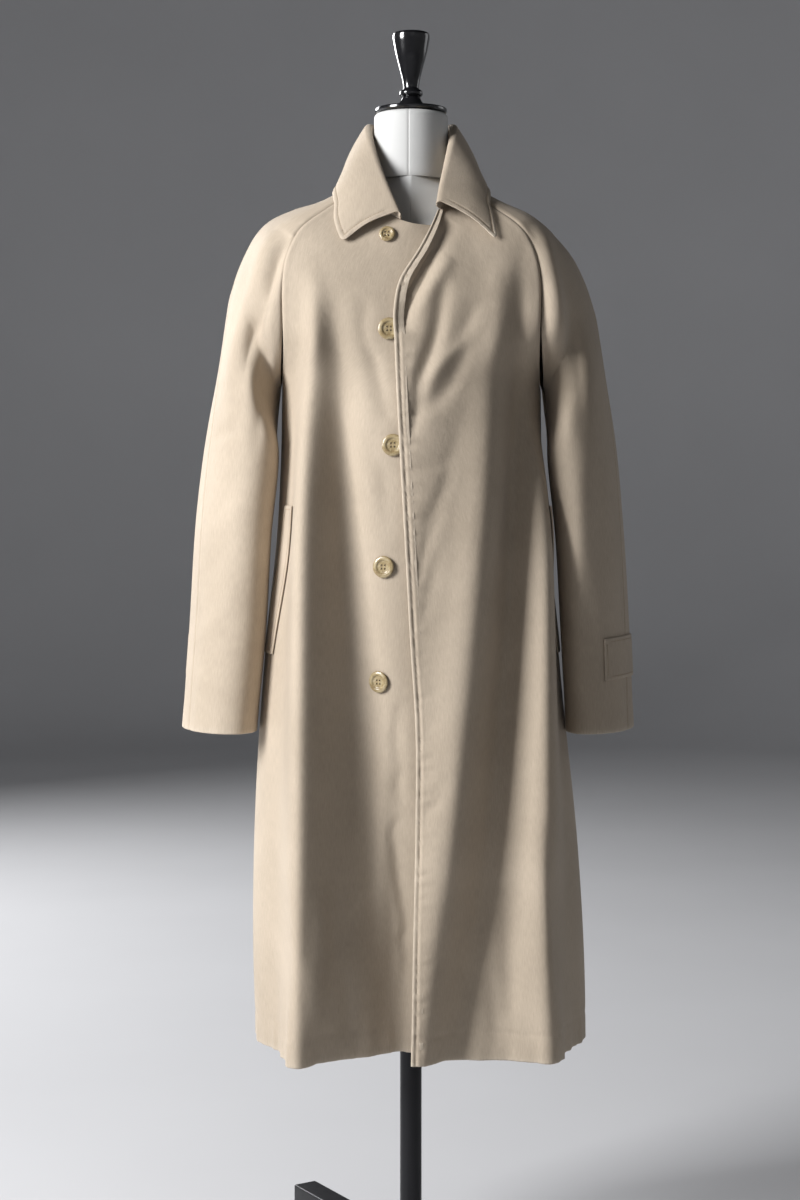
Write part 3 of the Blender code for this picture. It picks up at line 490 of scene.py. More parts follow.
# Turned finial: radius at each drop from its top, above and below the bead
FINIAL = Table(
    "drop radius",
    (0.0080, 0.0239),
    (0.0260, 0.0203),
    (0.0460, 0.0150),
    (0.0640, 0.0108),
    (0.0700, 0.0102),
    (0.0822, 0.0118),
    (0.0900, 0.0165),
    (0.0960, 0.0225),
)


# Surfaces of the coat, worked out with x from the middle towards either side

def unit(vectors):
    return vectors / np.linalg.norm(vectors, axis=-1, keepdims=True)


def smooth_step(value):
    value = np.clip(value, 0.0, 1.0)
    return value * value * (3.0 - 2.0 * value)


def bezier(row, shares):
    start, start_handle, end_handle, end = row
    share = np.asarray(shares, dtype=float)[..., None]
    rest = 1.0 - share
    return (rest ** 3 * start + 3.0 * rest ** 2 * share * (start + start_handle)
            + 3.0 * rest * share ** 2 * (end + end_handle) + share ** 3 * end)


def mirrored(points, side):
    return points * np.array([side, 1.0, 1.0])


def share_at_x(row, target_x):
    """Share of a row's curve at which it crosses target_x."""
    low, high = -0.4, 1.0
    for _ in range(40):
        middle = 0.5 * (low + high)
        if bezier(row, middle)[0] < target_x:
            low = middle
        else:
            high = middle
    return 0.5 * (low + high)


def level_height(level):
    return UNDERARM_Z + (HEM_Z - UNDERARM_Z) * (level - 1.0)


def level_of_height(z):
    return 1.0 + (UNDERARM_Z - z) / (UNDERARM_Z - HEM_Z)


def body_row(side, face, level):
    """Row of the body from its middle line to the raglan seam or, below the underarm, to the side seam."""
    if level < 1.0:
        start = np.array([0.0, MIDDLE.at(level, face + "_y"), MIDDLE.at(level, face + "_z")])
        end = RAGLAN[face].point(level, face[0])
        end_handle = RAGLAN[face].point(level, face[0] + "b")
        start_handle = np.array([ROUND * end[0], 0.0, 0.16 * (end[2] - start[2])])
        return start, start_handle, end_handle, end
    z = level_height(level)
    half = BODY.at(z, SIDE_NAME[side])
    middle_y = BODY.at(z, face)
    start = np.array([0.0, middle_y, z])
    end = np.array([half, SIDE_Y, z])
    start_handle = np.array([ROUND * half, 0.0, 0.0])
    end_handle = np.array([0.0, ROUND * (middle_y - SIDE_Y), 0.0])
    return start, start_handle, end_handle, end


def fold_depth(side, places, level):
    """Depth of the hanging folds at places round the body: 0 front middle, 1 side seam, 2 back middle."""
    depth = np.zeros_like(places)
    for row in FOLDS[side]:
        fold = dict(zip(FOLD_COLUMNS, row))
        across = body_row(side, fold["face"], level)
        height = 0.5 * (across[0][2] + across[3][2])
        if height >= fold["start_z"]:
            continue
        fall = (fold["start_z"] - height) / (fold["start_z"] - HEM_Z)
        x = fold["top_x"] + (fold["hem_x"] - fold["top_x"]) * fall ** fold["bend"]
        share = share_at_x(across, x)
        centre = share if fold["face"] == "front" else 2.0 - share
        grown = 1.0 - math.exp(-(fall / fold["deepening"]) ** FOLD_ONSET)
        depth += fold["depth"] * grown * np.exp(-((places - centre) / fold["width"]) ** 2)
    return depth


def body_points(side, face, shares, level):
    """Points of the body's cloth. Shares run from 0 at the middle line to 1 at the side or raglan seam."""
    shares = np.asarray(shares, dtype=float)
    row = body_row(side, face, level)
    points = bezier(row, shares)
    step = 0.001
    along = bezier(row, shares + step) - bezier(row, shares - step)
    turn = 1.0 if face == "front" else -1.0
    outward = unit(np.stack([FOLD_SIDEWAYS * turn * along[..., 1], -turn * along[..., 0],
                             0.0 * along[..., 0]], axis=-1))
    places = shares if face == "front" else 2.0 - shares
    points = points + outward * fold_depth(side, places, level)[..., None]
    if face == "front" and side == LEFT:
        points[..., 1] -= OVERLAP_LIFT * (1.0 - smooth_step(shares / OVERLAP_REACH))
    return mirrored(points, side)


def front_edge_share(side, level):
    """Share at which a front ends: past the middle on the under front, on it on the over front."""
    row = body_row(side, "front", level)
    edge_x = -UNDER_FRONT_EDGE_X
    if side == LEFT:
        edge_x = OVER_FRONT_EDGE.at(row[0][2], "x")
    return share_at_x(row, edge_x)


def sleeve_row(side, face, level):
    """Half round of a sleeve, from the overarm seam to the raglan or the underarm seam."""
    start = OVERARM[side].point(level, "o")
    if level < 1.0:
        start_handle = OVERARM_HANDLES.point(level, "h" + face[0])
        stand_off = UNDERARM_STEP * smooth_step((level - 0.75) / 0.25)
        end = RAGLAN[face].point(level, face[0]) + np.array([stand_off, 0.0, 0.0])
        return start, start_handle, RAGLAN[face].point(level, face[0] + "s"), end
    turn = math.radians(ARM[side].at(level, "turn"))
    reach = ARM[side].at(level, "depth") * np.array([-math.sin(turn), -math.cos(turn), 0.0]) * HALF_ROUND
    if face == "back":
        reach = -reach
    blend = smooth_step((level - 1.0) / 0.25)
    top_start = OVERARM_HANDLES.point(1.0, "h" + face[0])
    top_end = RAGLAN[face].point(1.0, face[0] + "s")
    start_handle = top_start + (reach - top_start) * blend
    end_handle = top_end + (reach - top_end) * blend
    return start, start_handle, end_handle, ARM[side].point(level, "i")


def sleeve_points(side, face, shares, level):
    return mirrored(bezier(sleeve_row(side, face, level), shares), side)


def collar_station(side, station, level):
    """Point of the coat at a collar station, on the row of the given level."""
    if station <= 1.0:
        start = share_at_x(body_row(side, "front", level), COLLAR_END_X[side])
        return body_points(side, "front", start + (1.0 - start) * station, level)
    if station <= 2.0:
        return sleeve_points(side, "front", 2.0 - station, level)
    if station <= 3.0:
        return sleeve_points(side, "back", station - 2.0, level)
    return body_points(side, "back", 4.0 - station, level)


def collar_edge(side, station):
    """Outer edge of the fall: a point of the coat moved out along its surface's own normal."""
    place = COLLAR[side].at(station, "edge_station")
    level = COLLAR[side].at(station, "edge_level")
    step = 0.02
    ahead = min(place + step, 4.0)
    across = collar_station(side, ahead, level) - collar_station(side, ahead - 2.0 * step, level)
    down = collar_station(side, place, level + step) - collar_station(side, place, level - step)
    outward = unit(np.cross(across, down)) * side
    if outward[2] < 0.0:
        outward = -outward
    return collar_station(side, place, level) + outward * COLLAR_LIFT


def collar_section(side, station, shares):
    """Section of the collar: the stand up to STAND, the roll as an arc up to ROLL, then the fall."""
    seam = collar_station(side, station, 0.0)
    roll = mirrored(COLLAR[side].point(station, "r"), side)
    edge = collar_edge(side, station)
    upward = np.array([0.0, 0.0, 1.0])
    out = (edge - roll) * np.array([1.0, 1.0, 0.0])
    reach = np.linalg.norm(out)
    out = out / reach
    drop = roll[2] - edge[2]
    steep = math.atan2(drop, reach) - math.pi * COLLAR_BULGE / np.linalg.norm(edge - roll)
    away = unit(upward * reach + out * drop)
    centre = roll - COLLAR_ROLL_RADIUS * upward

    def on_roll(angle):
        return centre + COLLAR_ROLL_RADIUS * (math.sin(angle) * upward - math.cos(angle) * out)

    inner, outer = on_roll(0.0), on_roll(0.5 * math.pi + steep)
    seam = seam + unit(inner - seam) * COLLAR_SEAM_PULL
    section = []
    for share in shares:
        if share < STAND:
            section.append(seam + (inner - seam) * share / STAND)
        elif share < ROLL:
            section.append(on_roll((share - STAND) / (ROLL - STAND) * (0.5 * math.pi + steep)))
        else:
            fall = (share - ROLL) / (1.0 - ROLL)
            section.append(outer + (edge - outer) * fall + away * COLLAR_BULGE * math.sin(math.pi * fall))
    return np.array(section)


# Creases and sewing, as relief along the normals of the cloth

# Each crease runs along a path of (x, z) seen from the front or the back: half width on the side to the
# left of its run, half width on the other side, and depth (a ridge is positive)
CREASE_COLUMNS = ("path", "left_width", "right_width", "depth")
CREASE_REACH = 3.0
CREASE_FADE = 0.7
CREASES = {
    "left_front": (
        (((0.050, 1.384), (0.018, 1.330), (-0.006, 1.280), (-0.010, 1.240)), 0.013, 0.007, -0.0110),
        (((0.051, 1.335), (0.035, 1.317), (-0.004, 1.250)), 0.010, 0.010, 0.0030),
        (((0.042, 1.310), (0.030, 1.240), (0.012, 1.183), (0.000, 1.110)), 0.009, 0.010, -0.0070),
        (((0.091, 1.279), (0.071, 1.236), (0.032, 1.198), (-0.002, 1.148)), 0.011, 0.009, 0.0035),
        (((0.086, 1.287), (0.060, 1.213), (0.036, 1.165), (0.000, 1.138)), 0.011, 0.015, -0.0044),
        (((0.058, 1.135), (0.046, 1.087), (0.002, 1.072)), 0.009, 0.012, -0.0012),
        (((0.050, 1.090), (0.036, 1.040), (0.005, 0.990)), 0.008, 0.008, -0.0020),
        (((0.040, 1.030), (0.022, 0.990), (0.008, 0.930)), 0.007, 0.010, -0.0026),
        (((0.037, 0.985), (0.026, 0.940), (0.014, 0.880)), 0.008, 0.008, -0.0016),
        (((0.118, 0.560), (0.119, 0.470), (0.124, 0.380)), 0.010, 0.010, -0.0045),
        (((0.098, 0.450), (0.104, 0.390), (0.106, 0.345)), 0.008, 0.008, -0.0030),
        (((0.172, 0.640), (0.184, 0.500), (0.190, 0.370)), 0.013, 0.010, -0.0055),
        (((0.062, 0.760), (0.052, 0.620), (0.040, 0.480)), 0.016, 0.012, 0.0020),
        (((0.046, 0.700), (0.030, 0.660), (0.012, 0.650)), 0.007, 0.010, -0.0014),
    ),
    "right_front": (
        (((-0.062, 1.290), (-0.045, 1.200), (-0.027, 1.127)), 0.010, 0.013, -0.0040),
        (((-0.112, 0.560), (-0.115, 0.470), (-0.117, 0.370)), 0.010, 0.010, 0.0050),
        (((-0.046, 1.120), (-0.034, 1.050), (-0.030, 0.990)), 0.012, 0.010, -0.0018),
        (((-0.072, 1.180), (-0.060, 1.080), (-0.054, 0.960)), 0.014, 0.012, 0.0016),
        (((-0.014, 0.644), (-0.025, 0.617), (-0.022, 0.594), (-0.018, 0.556), (-0.013, 0.525),
          (-0.009, 0.494), (-0.012, 0.476), (-0.008, 0.450), (-0.016, 0.400)), 0.008, 0.004, -0.0050),
        (((-0.030, 0.760), (-0.034, 0.640), (-0.036, 0.540), (-0.034, 0.430)), 0.010, 0.012, 0.0035),
        (((-0.014, 0.790), (-0.020, 0.740), (-0.012, 0.700)), 0.009, 0.007, -0.0026),
        (((-0.010, 0.706), (-0.018, 0.680), (-0.010, 0.655)), 0.008, 0.006, -0.0024),
        (((-0.158, 0.560), (-0.155, 0.450), (-0.150, 0.360)), 0.010, 0.010, -0.0035),
        (((-0.128, 0.470), (-0.122, 0.410), (-0.120, 0.350)), 0.008, 0.008, 0.0035),
        (((-0.086, 0.450), (-0.080, 0.400), (-0.078, 0.345)), 0.009, 0.009, -0.0030),
    ),
    "right_sleeve_front": (
        (((-0.150, 1.366), (-0.166, 1.341), (-0.180, 1.301), (-0.204, 1.233), (-0.222, 1.166)),
         0.010, 0.012, -0.0105),
        (((-0.170, 1.374), (-0.192, 1.330), (-0.212, 1.260), (-0.232, 1.180)), 0.012, 0.010, 0.0035),
        (((-0.255, 1.113), (-0.236, 1.122), (-0.217, 1.130)), 0.008, 0.010, -0.0030),
        (((-0.262, 1.010), (-0.240, 1.030), (-0.218, 1.075)), 0.010, 0.014, -0.0030),
        (((-0.184, 1.240), (-0.188, 1.170), (-0.198, 1.090)), 0.008, 0.010, -0.0040),
        (((-0.270, 0.930), (-0.246, 0.960), (-0.226, 0.995)), 0.010, 0.012, -0.0020),
        (((-0.276, 0.860), (-0.250, 0.880), (-0.222, 0.930)), 0.012, 0.012, 0.0018),
    ),
    "left_sleeve_front": (
        (((0.130, 1.386), (0.146, 1.296), (0.154, 1.214), (0.163, 1.117)), 0.009, 0.009, 0.0040),
        (((0.146, 1.384), (0.160, 1.300), (0.168, 1.220), (0.176, 1.120)), 0.009, 0.010, -0.0050),
        (((0.161, 1.383), (0.178, 1.315), (0.188, 1.238), (0.198, 1.093)), 0.009, 0.011, 0.0045),
        (((0.178, 1.376), (0.197, 1.300), (0.209, 1.220), (0.218, 1.110)), 0.010, 0.012, -0.0050),
        (((0.208, 1.080), (0.212, 0.960), (0.212, 0.800)), 0.010, 0.014, 0.0030),
        (((0.232, 1.090), (0.240, 1.000), (0.238, 0.900)), 0.014, 0.012, -0.0024),
    ),
    "right_sleeve_back": (
        (((-0.150, 1.360), (-0.182, 1.300), (-0.206, 1.220), (-0.220, 1.150)), 0.012, 0.010, -0.0050),
        (((-0.176, 1.366), (-0.206, 1.300), (-0.228, 1.220)), 0.012, 0.010, 0.0030),
        (((-0.262, 1.050), (-0.236, 1.066), (-0.210, 1.060)), 0.010, 0.010, -0.0040),
        (((-0.268, 0.990), (-0.238, 1.020), (-0.212, 1.010)), 0.011, 0.009, -0.0034),
        (((-0.262, 0.940), (-0.240, 0.900), (-0.216, 0.860)), 0.014, 0.012, -0.0024),
    ),
    "left_sleeve_back": (
        (((0.146, 1.362), (0.176, 1.296), (0.200, 1.216), (0.214, 1.140)), 0.010, 0.012, -0.0048),
        (((0.172, 1.366), (0.200, 1.296), (0.224, 1.210)), 0.010, 0.012, 0.0030),
        (((0.262, 1.064), (0.238, 1.046), (0.208, 1.070)), 0.010, 0.010, -0.0036),
        (((0.266, 1.000), (0.240, 0.986), (0.212, 1.014)), 0.009, 0.011, -0.0034),
        (((0.264, 0.900), (0.244, 0.880), (0.220, 0.900)), 0.013, 0.012, -0.0022),
    ),
    "back": (
        (((-0.034, 1.400), (-0.062, 1.300), (-0.080, 1.180), (-0.086, 1.040)), 0.016, 0.014, -0.0038),
        (((0.040, 1.395), (0.066, 1.310), (0.084, 1.190), (0.092, 1.060)), 0.014, 0.016, -0.0034),
        (((-0.006, 1.240), (-0.012, 1.080), (-0.004, 0.900)), 0.020, 0.020, 0.0030),
        (((-0.120, 1.220), (-0.128, 1.080), (-0.120, 0.900), (-0.124, 0.700)), 0.014, 0.012, -0.0050),
        (((0.116, 1.230), (0.124, 1.100), (0.118, 0.920), (0.128, 0.720)), 0.012, 0.015, -0.0050),
        (((-0.030, 0.860), (-0.036, 0.640), (-0.030, 0.420)), 0.016, 0.014, -0.0046),
        (((0.034, 0.880), (0.040, 0.660), (0.046, 0.440)), 0.014, 0.016, -0.0044),
        (((-0.146, 0.700), (-0.152, 0.540), (-0.150, 0.400)), 0.013, 0.013, 0.0030),
        (((0.150, 0.690), (0.160, 0.520), (0.166, 0.390)), 0.013, 0.013, 0.0030),
    ),
}


def smooth_path(path, steps=8):
    """Points along a path, rounded at its corners."""
    path = np.array(path)
    before = np.vstack([2.0 * path[0] - path[1], path])
    after = np.vstack([path, 2.0 * path[-1] - path[-2]])
    slopes = 0.5 * (after[1:] - before[:-1])
    points = [path[0]]
    for index in range(len(path) - 1):
        for step in range(1, steps + 1):
            part = step / steps
            rise = 3.0 * part ** 2 - 2.0 * part ** 3
            points.append(path[index] * (1.0 - rise) + path[index + 1] * rise
                          + slopes[index] * part * (1.0 - part) ** 2
                          + slopes[index + 1] * part ** 2 * (part - 1.0))
    return np.array(points)


def crease_relief(points, creases):
    """Height that the creases give to each point of a grid."""
    seen = points[..., [0, 2]]
    height = np.zeros(seen.shape[:2])
    for row in creases:
        crease = dict(zip(CREASE_COLUMNS, row))
        line = smooth_path(crease["path"])
        reach = CREASE_REACH * max(crease["left_width"], crease["right_width"])
        near = np.all((seen > line.min(0) - reach) & (seen < line.max(0) + reach), axis=-1)
        place = seen[near]
        best = np.full(len(place), 1.0)
        left = np.zeros(len(place))
        along = np.zeros(len(place))
        for index, (start, end) in enumerate(zip(line, line[1:])):
            run = end - start
            part = np.clip((place - start) @ run / (run @ run), 0.0, 1.0)
            offset = place - start - part[:, None] * run
            distance = np.linalg.norm(offset, axis=1)
            closer = distance < best
            best = np.where(closer, distance, best)
            left = np.where(closer, run[0] * offset[:, 1] - run[1] * offset[:, 0], left)
            along = np.where(closer, (index + part) / (len(line) - 1), along)
        width = np.where(left > 0.0, crease["left_width"], crease["right_width"])
        fade = np.sin(math.pi * np.clip(along, 0.0, 1.0)) ** CREASE_FADE
        height[near] += crease["depth"] * fade * np.exp(-(best / width) ** 2)
    return height


def wobble(places, pitch, seed):
    """Uneven waves along a line, from -1 to 1, with about one wave a pitch."""
    knots = np.random.default_rng(seed).uniform(-1.0, 1.0, int(np.max(places) / pitch * 2.0) + 4)
    spot = np.maximum(np.asarray(places), 0.0) / pitch * 2.0
    index = spot.astype(int)
    part = smooth_step(spot - index)
    return knots[index] * (1.0 - part) + knots[index + 1] * part


def run_length(points, axis):
    """Length along the rows (axis 1) or the columns (axis 0) of a grid, from its first point."""
    steps = np.linalg.norm(np.diff(points, axis=axis), axis=-1)
    start = np.zeros_like(np.take(steps, [0], axis=axis))
    return np.concatenate([start, np.cumsum(steps, axis=axis)], axis=axis)


def grid_normals(points, sign):
    across = np.gradient(points, axis=1)
    down = np.gradient(points, axis=0)
    return unit(np.cross(across, down)) * sign


def humps(distance, rows):
    """Height of soft ridges and grooves that run along an edge."""
    return sum(height * np.exp(-((distance - place) / width) ** 2) for place, width, height in rows)


def slanted_wobble(along, distance, wave):
    pitch, slant, seed = wave
    return wobble(along + slant * distance, pitch, seed)


def worn(distance, wear):
    strength, reach = wear
    return strength * np.exp(-distance / reach)


def edge_relief(distance, along):
    """Front edge: a smooth roll, a puckered groove at the row of stitches, and short ripples inside it."""
    twist = slanted_wobble(along, distance, EDGE_TWIST_WAVE) * humps(distance, EDGE_TWIST)
    ripple = slanted_wobble(along, distance, EDGE_RIPPLE_WAVE) * humps(distance, EDGE_RIPPLE)
    return humps(distance, EDGE_HUMPS) + twist + ripple


def eased(points, levels, shares):
    """Ease the bend at the underarm level, where the rows of the yoke meet those of the body."""
    soft = points.copy()
    for _ in range(EASE_PASSES):
        soft[1:-1] = 0.25 * soft[:-2] + 0.5 * soft[1:-1] + 0.25 * soft[2:]
    near = np.exp(-((levels - 1.0) / EASE_SPAN) ** 2)[:, None]
    inner = smooth_step((1.0 - np.abs(shares)) / EASE_INNER)[None, :]
    return points + (soft - points) * (near * inner)[..., None]


def hem_relief(rise, across):
    """Short upright ripples that the stitched hem draws into the cloth."""
    waves = sum(height * wobble(across, pitch, seed) * np.exp(-(rise / reach) ** 2)
                for pitch, seed, height, reach in HEM_WAVES)
    return waves + humps(rise, HEM_HUMPS)


# Meshes

def grid_mesh(name, points, wear=None):
    """Open grid with its lengths along the cloth as UV, and its wear as an attribute."""
    rows, columns = points.shape[:2]
    first = (np.arange(rows - 1)[:, None] * columns + np.arange(columns - 1)[None, :]).ravel()
    faces = np.stack([first, first + 1, first + columns + 1, first + columns], axis=1)
    mesh = bpy.data.meshes.new(name)
    mesh.from_pydata(points.reshape(-1, 3).tolist(), [], faces.tolist())
    corners = faces.ravel()
    across = run_length(points, 1)
    across = (across - across[:, -1:] * 0.5).ravel()
    down = run_length(points, 0).mean(axis=1, keepdims=True) + np.zeros((rows, columns))
    layer = mesh.uv_layers.new(name="cloth")
    layer.data.foreach_set("uv", np.stack([across[corners], down.ravel()[corners]], axis=1).ravel())
    attribute = mesh.attributes.new("wear", "FLOAT", "POINT")
    values = np.zeros(rows * columns) if wear is None else wear.ravel()
    attribute.data.foreach_set("value", values.astype(np.float32))
    mesh.shade_smooth()
    return mesh


def link(name, mesh, material):
    piece = bpy.data.objects.new(name, mesh)
    bpy.context.scene.collection.objects.link(piece)
    mesh.materials.append(material)
    return piece


def shell(name, points, wall, material, wear=None):
    """Thin closed cloth round a grid of points, with a rounded rim."""
    piece = link(name, grid_mesh(name, points, wear), material)
    thickness = piece.modifiers.new("wall", "SOLIDIFY")
    thickness.thickness = wall
    thickness.offset = 0.0
    rim = piece.modifiers.new("rim", "BEVEL")
    rim.width = RIM_SHARE * wall
    rim.segments = 2
    rim.limit_method = "ANGLE"
    rim.angle_limit = math.radians(60.0)
    return piece


def turned_edge(points, normals, radius, depth):
    """Fold the first column of a grid under: a round edge, and a narrow return behind the panel."""
    edge = points[:, 0]
    inward = unit(points[:, 1] - points[:, 0])
    outward = normals[:, 0]
    columns = []
    for back in (1.0, 0.5):
        columns.append(edge - outward * 2.0 * radius + inward * depth * back)
    for step in range(EDGE_STEPS, 0, -1):
        angle = math.pi * step / EDGE_STEPS
        drop = outward * radius * (1.0 - math.cos(angle))
        columns.append(edge - drop - inward * radius * math.sin(angle))
    folded = np.stack(columns, axis=1)
    return np.concatenate([folded, points], axis=1)


def turned_hem(points, normals, radius, depth):
    """Fold the last row of a grid under."""
    flipped = turned_edge(points[::-1].swapaxes(0, 1), normals[::-1].swapaxes(0, 1), radius, depth)
    return flipped.swapaxes(0, 1)[::-1]


def declare(piece, node_name):
    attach(piece, "root")
    if node_name:
        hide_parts(node_name)
    return piece


def declare_cloth(piece, node_name):
    """Attach a cloth panel to the root and hide the solid it replaces."""
    declare(piece, node_name)


def ring_mesh(name, rings, sharp_angle=35.0):
    """Closed solid from rings of points, flat at both ends."""
    count, around = rings.shape[:2]
    first = np.arange(count - 1)[:, None] * around + np.arange(around)[None, :]
    after = np.arange(count - 1)[:, None] * around + np.roll(np.arange(around), -1)[None, :]
    quads = np.stack([first, after, after + around, first + around], axis=-1).reshape(-1, 4).tolist()
    ends = [list(range(around))[::-1], list(range((count - 1) * around, count * around))]
    mesh = bpy.data.meshes.new(name)
    mesh.from_pydata(rings.reshape(-1, 3).tolist(), [], quads + ends)
    bm = bmesh.new()
    bm.from_mesh(mesh)
    bmesh.ops.recalc_face_normals(bm, faces=bm.faces)
    bm.to_mesh(mesh)
    bm.free()
    mesh.shade_smooth()
    mesh.set_sharp_from_angle(angle=math.radians(sharp_angle))
    return mesh


def turned_rings(profile, angles):
    """Rings of a turned shape from a profile of (radius, z)."""
    radius, height = np.array(profile).T
    flat = np.ones_like(angles)
    return np.stack([radius[:, None] * np.cos(angles), radius[:, None] * np.sin(angles),
                     height[:, None] * flat], axis=-1)


def round_angles(count):
    return np.arange(count) * 2.0 * math.pi / count


def capsules(name, centres, along, up, length, width, material):
    """Many short threads as one mesh: each lies along its row and stands a little out of the cloth."""
    sides = round_angles(THREAD_SIDES)
    template = np.concatenate([
        np.stack([np.full(THREAD_SIDES, place * length), 0.5 * width * size * np.cos(sides),
                  0.5 * width * size * np.sin(sides)], axis=-1)
        for place, size in THREAD_RINGS])
    beside = np.cross(up, along)
    points = (centres[:, None] + template[None, :, :1] * along[:, None]
              + template[None, :, 1:2] * beside[:, None] + template[None, :, 2:] * up[:, None])
    corner = np.arange(THREAD_SIDES)
    after = np.roll(corner, -1)
    ring = np.stack([corner, after, after + THREAD_SIDES, corner + THREAD_SIDES], axis=1)
    quads = np.concatenate([ring + index * THREAD_SIDES for index in range(len(THREAD_RINGS) - 1)])
    bases = np.arange(len(centres)) * len(template)
    last = len(template) - THREAD_SIDES
    ends = np.concatenate([bases[:, None] + corner[::-1], bases[:, None] + last + corner])
    faces = (quads + bases[:, None, None]).reshape(-1, 4).tolist() + ends.tolist()
    mesh = bpy.data.meshes.new(name)
    mesh.from_pydata(points.reshape(-1, 3).tolist(), [], faces)
    mesh.shade_smooth()
    return link(name, mesh, material)


def along_line(spots, length, values):
    """Values of a line at the given lengths along it."""
    return np.stack([np.interp(spots, length, values[:, axis]) for axis in range(3)], axis=-1)


def stitch_row(lines):
    """Places, directions and normals of the stitches along lines of (points, normals)."""
    centres, along, up = [], [], []
    for points, normals in lines:
        length = run_length(points[None], 1)[0]
        spots = np.arange(STITCH_PITCH, length[-1] - 0.5 * STITCH_PITCH, STITCH_PITCH)
        place = along_line(spots, length, points)
        run = unit(along_line(spots + 0.3 * STITCH_PITCH, length, points) - place)
        normal = unit(along_line(spots, length, normals))
        normal = unit(normal - (normal * run).sum(axis=1, keepdims=True) * run)
        centres.append(place + normal * STITCH_LIFT)
        along.append(run)
        up.append(normal)
    return np.concatenate(centres), np.concatenate(along), np.concatenate(up)


def line_beside(points, normals, distance, from_end=False):
    """Line on a grid that keeps a distance from its first (or last) column."""
    if from_end:
        points, normals = points[:, ::-1], normals[:, ::-1]
    lengths = run_length(points, 1)
    return tuple(np.array([along_line(distance, length, row) for length, row in zip(lengths, grid)])
                 for grid in (points, normals))


# Finishes

def new_material(name):
    made = bpy.data.materials.new(name)
    made.use_nodes = True
    return made, made.node_tree.nodes["Principled BSDF"]


def node(material, kind, inputs, **settings):
    made = material.node_tree.nodes.new(kind)
    for key, value in settings.items():
        setattr(made, key, value)
    for key, value in inputs.items():
        if isinstance(value, bpy.types.NodeSocket):
            material.node_tree.links.new(value, made.inputs[key])
        else:
            made.inputs[key].default_value = value
    return made


def feed(material, shader, socket, value):
    material.node_tree.links.new(value, shader.inputs[socket])


def mix_colour(material, factor, first, second, blend="MIX"):
    return node(material, "ShaderNodeMix", {0: factor, 6: first, 7: second},
                data_type="RGBA", blend_type=blend).outputs[2]


def ramp(material, factor, *stops):
    made = node(material, "ShaderNodeValToRGB", {"Fac": factor})
    while len(made.color_ramp.elements) < len(stops):
        made.color_ramp.elements.new(0.5)
    for element, (place, colour) in zip(made.color_ramp.elements, stops):
        element.position = place
        element.color = colour
    return made.outputs["Color"]


def grey(value):
    return (value, value, value, 1.0)


def object_place(material):
    return node(material, "ShaderNodeTexCoord", {}).outputs["Object"]


def mapped(material, vector, **inputs):
    return node(material, "ShaderNodeMapping", {"Vector": vector, **inputs}).outputs[0]


def noise(material, vector, scale, detail, **inputs):
    return node(material, "ShaderNodeTexNoise",
                {"Vector": vector, "Scale": scale, "Detail": detail, **inputs}).outputs[0]


def between(material, value, low, high):
    return node(material, "ShaderNodeMapRange", {"Value": value, "To Min": low, "To Max": high}).outputs[0]


def bump(material, height, strength, distance, **inputs):
    return node(material, "ShaderNodeBump",
                {"Height": height, "Strength": strength, "Distance": distance, **inputs}).outputs[0]


def settle(shader, values):
    for socket, value in values.items():
        shader.inputs[socket].default_value = value


def gabardine():
    """Beige cotton gabardine: fine steep twill, soft clouds of fading, paler where edges have worn."""
    material, shader = new_material("gabardine_cloth")
    uv = node(material, "ShaderNodeUVMap", {}, uv_map="cloth").outputs["UV"]
    place = object_place(material)
    twill = node(material, "ShaderNodeTexWave", {
        "Vector": mapped(material, uv, Rotation=(0.0, 0.0, TWILL_SLANT)),
        "Scale": 2.0 * math.pi / (20.0 * TWILL_PITCH), "Distortion": 1.2, "Detail": 2.0,
        "Detail Scale": 3.0}).outputs["Color"]
    slub = noise(material, mapped(material, uv, Scale=(1.0, 0.12, 1.0)), 700.0, 3.0)
    crumple = noise(material, place, 42.0, 4.0, Roughness=0.6)
    cloud = noise(material, place, 6.0, 5.0, Roughness=0.55, Distortion=0.4)
    ground = ramp(material, cloud, (0.30, CLOTH_DARK), (0.70, CLOTH_LIGHT))
    threads = ramp(material, slub, (0.25, grey(0.90)), (0.75, grey(1.06)))
    ribs = ramp(material, twill, (0.0, grey(0.94)), (1.0, grey(1.02)))
    for grain in (threads, ribs):
        ground = mix_colour(material, 1.0, ground, grain, "MULTIPLY")
    wear = node(material, "ShaderNodeAttribute", {}, attribute_name="wear").outputs["Fac"]
    patchy = node(material, "ShaderNodeMath", {0: wear, 1: slub}, operation="MULTIPLY").outputs[0]
    feed(material, shader, "Base Color", mix_colour(material, patchy, ground, CLOTH_WORN))
    feed(material, shader, "Roughness", between(material, cloud, 0.72, 0.88))
    soft = bump(material, crumple, 0.22, 0.004)
    fine = bump(material, slub, 0.25, 0.0005, Normal=soft)
    feed(material, shader, "Normal", bump(material, twill, 0.35, 0.0003, Normal=fine))
    settle(shader, {"Sheen Weight": 0.12, "Sheen Roughness": 0.45, "Specular IOR Level": 0.30})
    return material


def thread():
    """Beige sewing thread with a twist."""
    material, shader = new_material("sewing_thread")
    twist = noise(material, object_place(material), 900.0, 2.0)
    feed(material, shader, "Base Color", ramp(material, twist, (0.3, THREAD_DARK), (0.7, THREAD_LIGHT)))
    feed(material, shader, "Normal", bump(material, twist, 0.4, 0.0002))
    settle(shader, {"Roughness": 0.65})
    return material


